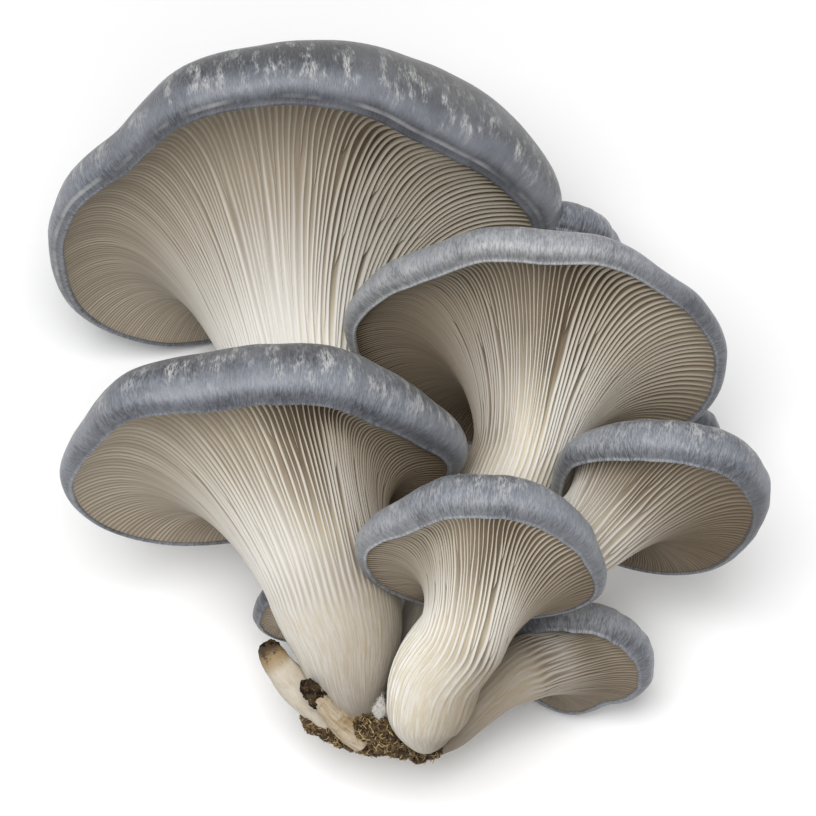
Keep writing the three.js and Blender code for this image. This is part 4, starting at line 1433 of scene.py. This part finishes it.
@dataclass
class Foot:
    """The torn foot with its two stunted stems and the straw that sticks to it.

    Attributes:
        stubs: Routes of the stunted stems, by the names of their solids.
        centre: Middle of the foot's flesh.
        size: Half its extents.
        crust: Routes of the lumps of soil and sawdust.
        tips: Routes of the dried crusts round the tips of the stunted stems.
        ages: How worn and browned each stunted stem is.
        fuzz: Route of the tuft of white threads.
    """

    stubs: dict[str, Sequence[Row]] = field(default_factory=lambda: {
        "stub_left": [(-31.1, -51.4, 3, 0.4), (-30.8, -51.9, 3, 1.9), (-30.2, -53.2, 3, 2.7),
                      (-28.9, -55.6, 3, 3.2), (-26.6, -58.7, 2.5, 3.5), (-23.6, -61.9, 2, 3.8),
                      (-20.5, -64.8, 1.5, 3.9), (-17.6, -68.2, 2, 2.9), (-14.4, -71.2, 2.6, 1.5)],
        "stub_front": [(-22.4, -60, 10, 0.4), (-22, -60.4, 10, 1.4), (-20.8, -61.8, 10, 1.9),
                       (-18.6, -64.4, 9.5, 2.2), (-15.8, -67.5, 8, 2.6), (-13, -70.2, 6.5, 2.9),
                       (-9.8, -72.7, 5, 3.2)]})
    centre: tuple[float, float, float] = (-3, -69, -7)
    size: tuple[float, float, float] = (15, 6.5, 11)
    crust: Sequence[Sequence[Row]] = (
        ((-22.8, -67.6, 0, 0.8), (-21, -69, 0.5, 2), (-15, -71.5, 1.5, 2.6), (-9, -73, 2.5, 2.8),
         (-4, -73.8, 3, 2.3), (0, -74.5, 3.5, 1.9), (2.8, -75.8, 3.5, 1.8), (7.4, -75.2, 3.5, 0.7)),
        ((-11.8, -68.4, 7, 0.8), (-9.5, -69.6, 8, 2.6), (-5, -71.5, 8.5, 3.4), (-1.5, -74.2, 7, 2.5),
         (-0.4, -76.4, 6, 0.8)))
    tips: dict[str, Sequence[Row]] = field(default_factory=lambda: {
        "stub_left": [(-31.3, -51.2, 3, 0.5), (-31, -51.7, 3, 1.8), (-30.5, -52.7, 3, 2.4),
                      (-30, -53.6, 3, 2.2)],
        "stub_front": [(-22.8, -59.7, 10, 0.7), (-22.3, -60.2, 10, 1.7), (-21, -61.7, 10, 2.1),
                       (-19.6, -63.3, 9.8, 2.1), (-18.4, -64.7, 9.4, 1.7)]})
    ages: dict[str, float] = field(default_factory=lambda: {"stub_left": 0.4, "stub_front": 1.2})
    fuzz: Sequence[Row] = ((-6.3, -67.2, 10.5, 0.3), (-6.3, -66, 11, 0.9), (-6.1, -64.8, 11.5, 0.65),
                           (-5.8, -63.4, 12, 0.2), (-5.5, -62, 12.6, 0.1))
    stub_skin: Roughness = Roughness(lump=1.6, lump_scale=170.0, pit=0.3, pit_scale=900.0, seed=3.0)
    flesh_skin: Roughness = Roughness(lump=1.4, lump_scale=110.0, pit=0.3, pit_scale=700.0, seed=8.0)
    tip_skin: Roughness = Roughness(lump=2.4, lump_scale=520.0, pit=1.0, pit_scale=1500.0, seed=6.0)
    soil_skin: Roughness = Roughness(lump=2.6, lump_scale=380.0, pit=1.2, pit_scale=1300.0, seed=4.0)

    def tube_object(self, name: str, route: Sequence[Row], rows: int, columns: int, lead: float = 1.0,
                    age: float = 0.0) -> Piece:
        """Make a closed round piece along a route.

        Args:
            name: The object's name.
            route: Rows of x, y, z and radius.
            rows: Rings along it.
            columns: Corners round it.
            lead: Share of the route, from its start, that the value `tip` marks.
            age: How worn and browned the piece is: nought when fresh, about one when old.

        Returns:
            The object.
        """
        share = np.linspace(0.0, 1.0, rows)
        turn = even_turns(rows, columns)
        points = tube(route, share, np.array([1.0, 0.0, 0.0]), turn)
        gone = travelled(along(route, share)[:, :3])
        length = gone[-1]
        way = np.broadcast_to(gone[:, None] / length, turn.shape)
        grain = np.stack([3.0 * np.cos(TURN * turn), 3.0 * np.sin(TURN * turn), length * way], axis=-1)
        sheet = Sheet(points, {"tip": np.clip(1.0 - way / lead, 0.0, 1.0), "grain": grain,
                               "age": np.full(turn.shape, age)},
                      start=points[0].mean(axis=0), end=points[-1].mean(axis=0))
        return sheet.object(name)

    def stub(self, name: str, tree: Tree, finish: Material) -> Piece:
        """Make a stunted stem with an uneven surface."""
        obj = self.tube_object(f"{name}_flesh", self.stubs[name], rows=80, columns=64, lead=0.27,
                               age=self.ages[name])
        return self.stub_skin.on(obj, tree, finish)

    def flesh(self, tree: Tree, finish: Material) -> Piece:
        """Make the rounded flesh that all stems grow from.

        Args:
            tree: The tree that roughens a surface.
            finish: Its material.

        Returns:
            The plain mesh object.
        """
        rows, columns = 48, 72
        rise = np.linspace(-math.pi / 2, math.pi / 2, rows + 2)[1:-1]
        turn = even_turns(rows, columns)
        width = np.cos(rise)[:, None]
        unit_ball = np.stack([width * np.cos(TURN * turn), np.sin(rise)[:, None] + 0.0 * turn,
                              -width * np.sin(TURN * turn)], axis=-1)
        points = np.asarray(self.centre) + unit_ball * np.asarray(self.size)
        end = np.array([0.0, self.size[1], 0.0])
        # The foot's flesh is darkened evenly by the same painted shade.
        even = {"blade": 1.0, "path": -0.7, "dull": 0.0, "gape": 0.0, "dusk": 0.3}
        values = {key: np.full(turn.shape, value) for key, value in even.items()}
        sheet = Sheet(points, {**values, "grain": 9.0 * unit_ball},
                      start=np.asarray(self.centre) - end, end=np.asarray(self.centre) + end)
        return self.flesh_skin.on(sheet.object("foot_flesh"), tree, finish)

    def tip(self, name: str, tree: Tree, finish: Material) -> Piece:
        """Make the dried crust round the tip of a stunted stem."""
        obj = self.tube_object(f"{name}_crust", self.tips[name], rows=60, columns=56)
        return self.tip_skin.on(obj, tree, finish)

    def soil(self, tree: Tree, finish: Material) -> list[Piece]:
        """Make the two lumps of soil and sawdust.

        Args:
            tree: The tree that roughens a surface.
            finish: Their material.

        Returns:
            The plain mesh objects.
        """
        made = []
        for number, route in enumerate(self.crust):
            skin = replace(self.soil_skin, seed=self.soil_skin.seed + number)
            lump = self.tube_object(f"straw_crust_{number}", route, rows=110, columns=72)
            made.append(skin.on(lump, tree, finish))
        return made


@dataclass(frozen=True)
class Scatter:
    """One kind of loose piece and how it is strewn.

    The density is in copies a square metre, the sizes are shares of the shape's own size and the
    tilt is in radians.
    """

    name: str
    density: float
    smallest: float
    largest: float
    tilt: float
    seed: int


def small_fibre(name: str, length: float, thick: float, bend: float) -> Piece:
    """Make one bent fibre that lies along X.

    Args:
        name: The object's name.
        length: Its length in millimetres.
        thick: Its thickness in millimetres.
        bend: How far its middle rises, in millimetres.

    Returns:
        The object, used only as a shape to copy.
    """
    share = np.linspace(0.0, 1.0, 5)
    centre = np.stack([(share - 0.5) * length, 0.07 * length * np.sin(4.0 * share),
                       bend * np.sin(math.pi * share)], axis=-1)
    turn = np.arange(4) / 4.0
    ring = np.stack([0.0 * turn, np.cos(TURN * turn), 0.6 * np.sin(TURN * turn)], axis=-1) * thick / 2
    width = np.array([0.55, 0.9, 1.0, 0.9, 0.5])[:, None, None]
    points = ((centre[:, None] + width * ring) * MM).reshape(-1, 3)
    corner = np.arange(20).reshape(5, 4)
    nearby = np.roll(corner, -1, axis=1)
    faces = np.stack([corner[:-1], nearby[:-1], nearby[1:], corner[1:]], axis=-1).reshape(-1, 4)
    ends = [corner[0][::-1].tolist(), corner[-1].tolist()]
    return mesh_from(name, points, faces.tolist() + ends, {})


def small_crumb(name: str, size: float) -> Piece:
    """Make one angular crumb.

    Args:
        name: The object's name.
        size: Its width in millimetres.

    Returns:
        The object, used only as a shape to copy.
    """
    mesh = bpy.data.meshes.new(name)
    build = bmesh.new()
    bmesh.ops.create_icosphere(build, subdivisions=1, radius=size * MM / 2)
    for corner in build.verts:
        corner.co.x *= 1.0 + 0.35 * math.sin(7.0 * corner.index)
        corner.co.y *= 0.8 + 0.3 * math.cos(5.0 * corner.index)
        corner.co.z *= 0.7
    build.to_mesh(mesh)
    build.free()
    return placed(name, mesh)


def strew(surface: Piece, shape: Piece, tree: Tree, spread: Scatter, finish: Material) -> Piece:
    """Strew copies of a shape over a copy of a surface.

    Args:
        surface: The object that the copies lie on.
        shape: The shape to copy.
        tree: The strewing tree.
        spread: How many and how large.
        finish: Their material.

    Returns:
        The plain mesh object of all the copies.
    """
    return apply_tree(placed(spread.name, surface.data.copy()), tree, {
        "Shape": shape, "Density": spread.density, "Smallest": spread.smallest, "Largest": spread.largest,
        "Tilt": spread.tilt, "Seed": spread.seed, "Finish": finish})


# The studio

@dataclass(frozen=True)
class Lamp:
    """A soft square light: its direction from the cluster, side in metres and power in watts."""

    name: str
    towards: tuple[float, float, float]
    size: float
    power: float


@dataclass(frozen=True)
class Studio:
    """Floor, lights and camera, with all lengths in metres but the sensor's millimetres.

    Attributes:
        distance: From the camera to the origin of the growing frame.
        frame_width: Width that the picture shows at that distance.
        sensor: Width of the camera's sensor.
        floor_size: Side of the floor.
        floor_colours: The two colours that the floor's faint clouds go between.
        lamps: The lights.
        lamp_distance: From a light to the cluster.
        surroundings: Strength of the plain white light from all sides.
    """

    distance: float = 1.0
    frame_width: float = 0.17952
    sensor: float = 36.0
    floor_size: float = 6.0
    floor_colours: tuple[Colour, Colour] = ((0.97, 0.97, 0.97), (0.98, 0.98, 0.98))
    lamps: Sequence[Lamp] = (Lamp("key", (-0.1, 0.3, 1.0), size=0.8, power=14.5),
                             Lamp("front", (0.1, -0.25, 1.0), size=1.0, power=4.0))
    lamp_distance: float = 1.3
    surroundings: float = 0.3

    def build(self) -> None:
        """Make the floor, the lights and the camera."""
        self.floor()
        self.world()
        for lamp in self.lamps:
            self.light(lamp)
        self.camera()

    def floor(self) -> None:
        """Make the pale floor."""
        half = self.floor_size / 2
        points = np.array([(-half, -half, 0), (half, -half, 0), (half, half, 0), (-half, half, 0)], float)
        obj = mesh_from("floor", points, [(0, 1, 2, 3)], {})
        finish = Finish("pale_floor", roughness=0.7, specular=0.2)
        cloud = finish.graph.noise(finish.place(), 3.0, 2.0)
        obj.data.materials.append(finish.close(finish.graph.blend(cloud, *self.floor_colours)))
        obj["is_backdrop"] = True

    def world(self) -> None:
        """Fill the surroundings with plain white light."""
        world = bpy.data.worlds.new("studio")
        world.use_nodes = True
        inputs = world.node_tree.nodes["Background"].inputs
        inputs["Color"].default_value = (1.0, 1.0, 1.0, 1.0)
        inputs["Strength"].default_value = self.surroundings
        bpy.context.scene.world = world
        bpy.context.scene.view_settings.view_transform = "Standard"

    def light(self, lamp: Lamp) -> None:
        """Add a light that faces the cluster.

        Args:
            lamp: The light, with its direction in the growing frame.
        """
        data = bpy.data.lights.new(lamp.name, "AREA")
        data.size = lamp.size
        data.energy = lamp.power
        way = Vector(unit(LIE.turned(np.array(lamp.towards))))
        obj = placed(lamp.name, data)
        obj.location = way * self.lamp_distance
        obj.rotation_euler = way.to_track_quat("Z", "Y").to_euler()

    def camera(self) -> None:
        """Place the camera where the photograph was taken from."""
        data = bpy.data.cameras.new("camera")
        data.sensor_width = self.sensor
        data.lens = self.sensor * self.distance / self.frame_width
        right, up, back = (Vector(LIE.turned(axis)) for axis in np.eye(3))
        origin = Vector(LIE.to_world(np.zeros(3)))
        turned = Matrix((right, up, back)).transposed().to_4x4()
        obj = placed("camera", data)
        obj.matrix_world = Matrix.Translation(origin + back * self.distance) @ turned
        bpy.context.scene.camera = obj


@dataclass
class Cluster:
    """Builds and dresses the whole cluster inside the box of its solids."""

    low: Vector
    high: Vector
    palette: Palette = field(default_factory=Palette)
    foot: Foot = field(default_factory=Foot)

    def keep(self, obj: Piece, nodes: Sequence[str] = ()) -> None:
        """Fit a finished piece to the box, attach it to the root body and hide the solids that it stands
        for.

        Args:
            obj: The piece.
            nodes: The solids that it stands for.
        """
        settle(obj, self.low, self.high)
        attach(obj, "root")
        if nodes:
            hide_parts(*nodes)
        LOG.info("%s: %d faces", obj.name, len(obj.data.polygons))

    def mushrooms(self) -> None:
        """Build each mushroom's flesh and skin."""
        folding = blade_tree()
        for mushroom in MUSHROOMS:
            flesh = mushroom.flesh(folding, self.palette.flesh)
            self.keep(flesh, [f"stem_{mushroom.name}"])
            self.keep(mushroom.skin(self.palette.skin), [f"cap_{mushroom.name}"])

    def base(self) -> None:
        """Build the foot, the stunted stems and the straw."""
        rough, strewing = crust_tree(), scatter_tree()
        self.keep(self.foot.flesh(rough, self.palette.flesh), ["foot"])
        for name in self.foot.stubs:
            self.keep(self.foot.stub(name, rough, self.palette.stub), [name])
            self.keep(self.foot.tip(name, rough, self.palette.soil))
        fibre = small_fibre("fibre_shape", length=1.9, thick=0.18, bend=0.28)
        thread = small_fibre("thread_shape", length=1.8, thick=0.07, bend=0.4)
        crumb = small_crumb("crumb_shape", size=1.0)
        bed = self.foot.tube_object("fuzz_bed", self.foot.fuzz, rows=30, columns=24)
        fuzz = Scatter("white_fuzz", density=22.0e6, smallest=0.4, largest=1.3, tilt=1.1, seed=61)
        self.keep(strew(bed, thread, strewing, fuzz, self.palette.threads))
        bpy.data.objects.remove(bed)
        for number, crust in enumerate(self.foot.soil(rough, self.palette.soil)):
            fibres = Scatter(f"straw_fibres_{number}", density=2.6e6, smallest=0.25, largest=1.25,
                             tilt=0.6, seed=21 + number)
            crumbs = Scatter(f"straw_crumbs_{number}", density=3.0e6, smallest=0.3, largest=1.3,
                             tilt=1.2, seed=41 + number)
            strewn = strew(crust, fibre, strewing, fibres, self.palette.straw)
            bits = strew(crust, crumb, strewing, crumbs, self.palette.crumb)
            self.keep(crust, ["straw"])
            self.keep(strewn)
            self.keep(bits)
        for shape in (fibre, thread, crumb):
            bpy.data.objects.remove(shape)


def main() -> None:
    """Load the solids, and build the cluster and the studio."""
    logging.basicConfig(level=logging.INFO, format="%(name)s: %(message)s")
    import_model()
    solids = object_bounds()
    cluster = Cluster(*solids)
    cluster.mushrooms()
    cluster.base()
    Studio().build()


if __name__ == "__main__":
    main()
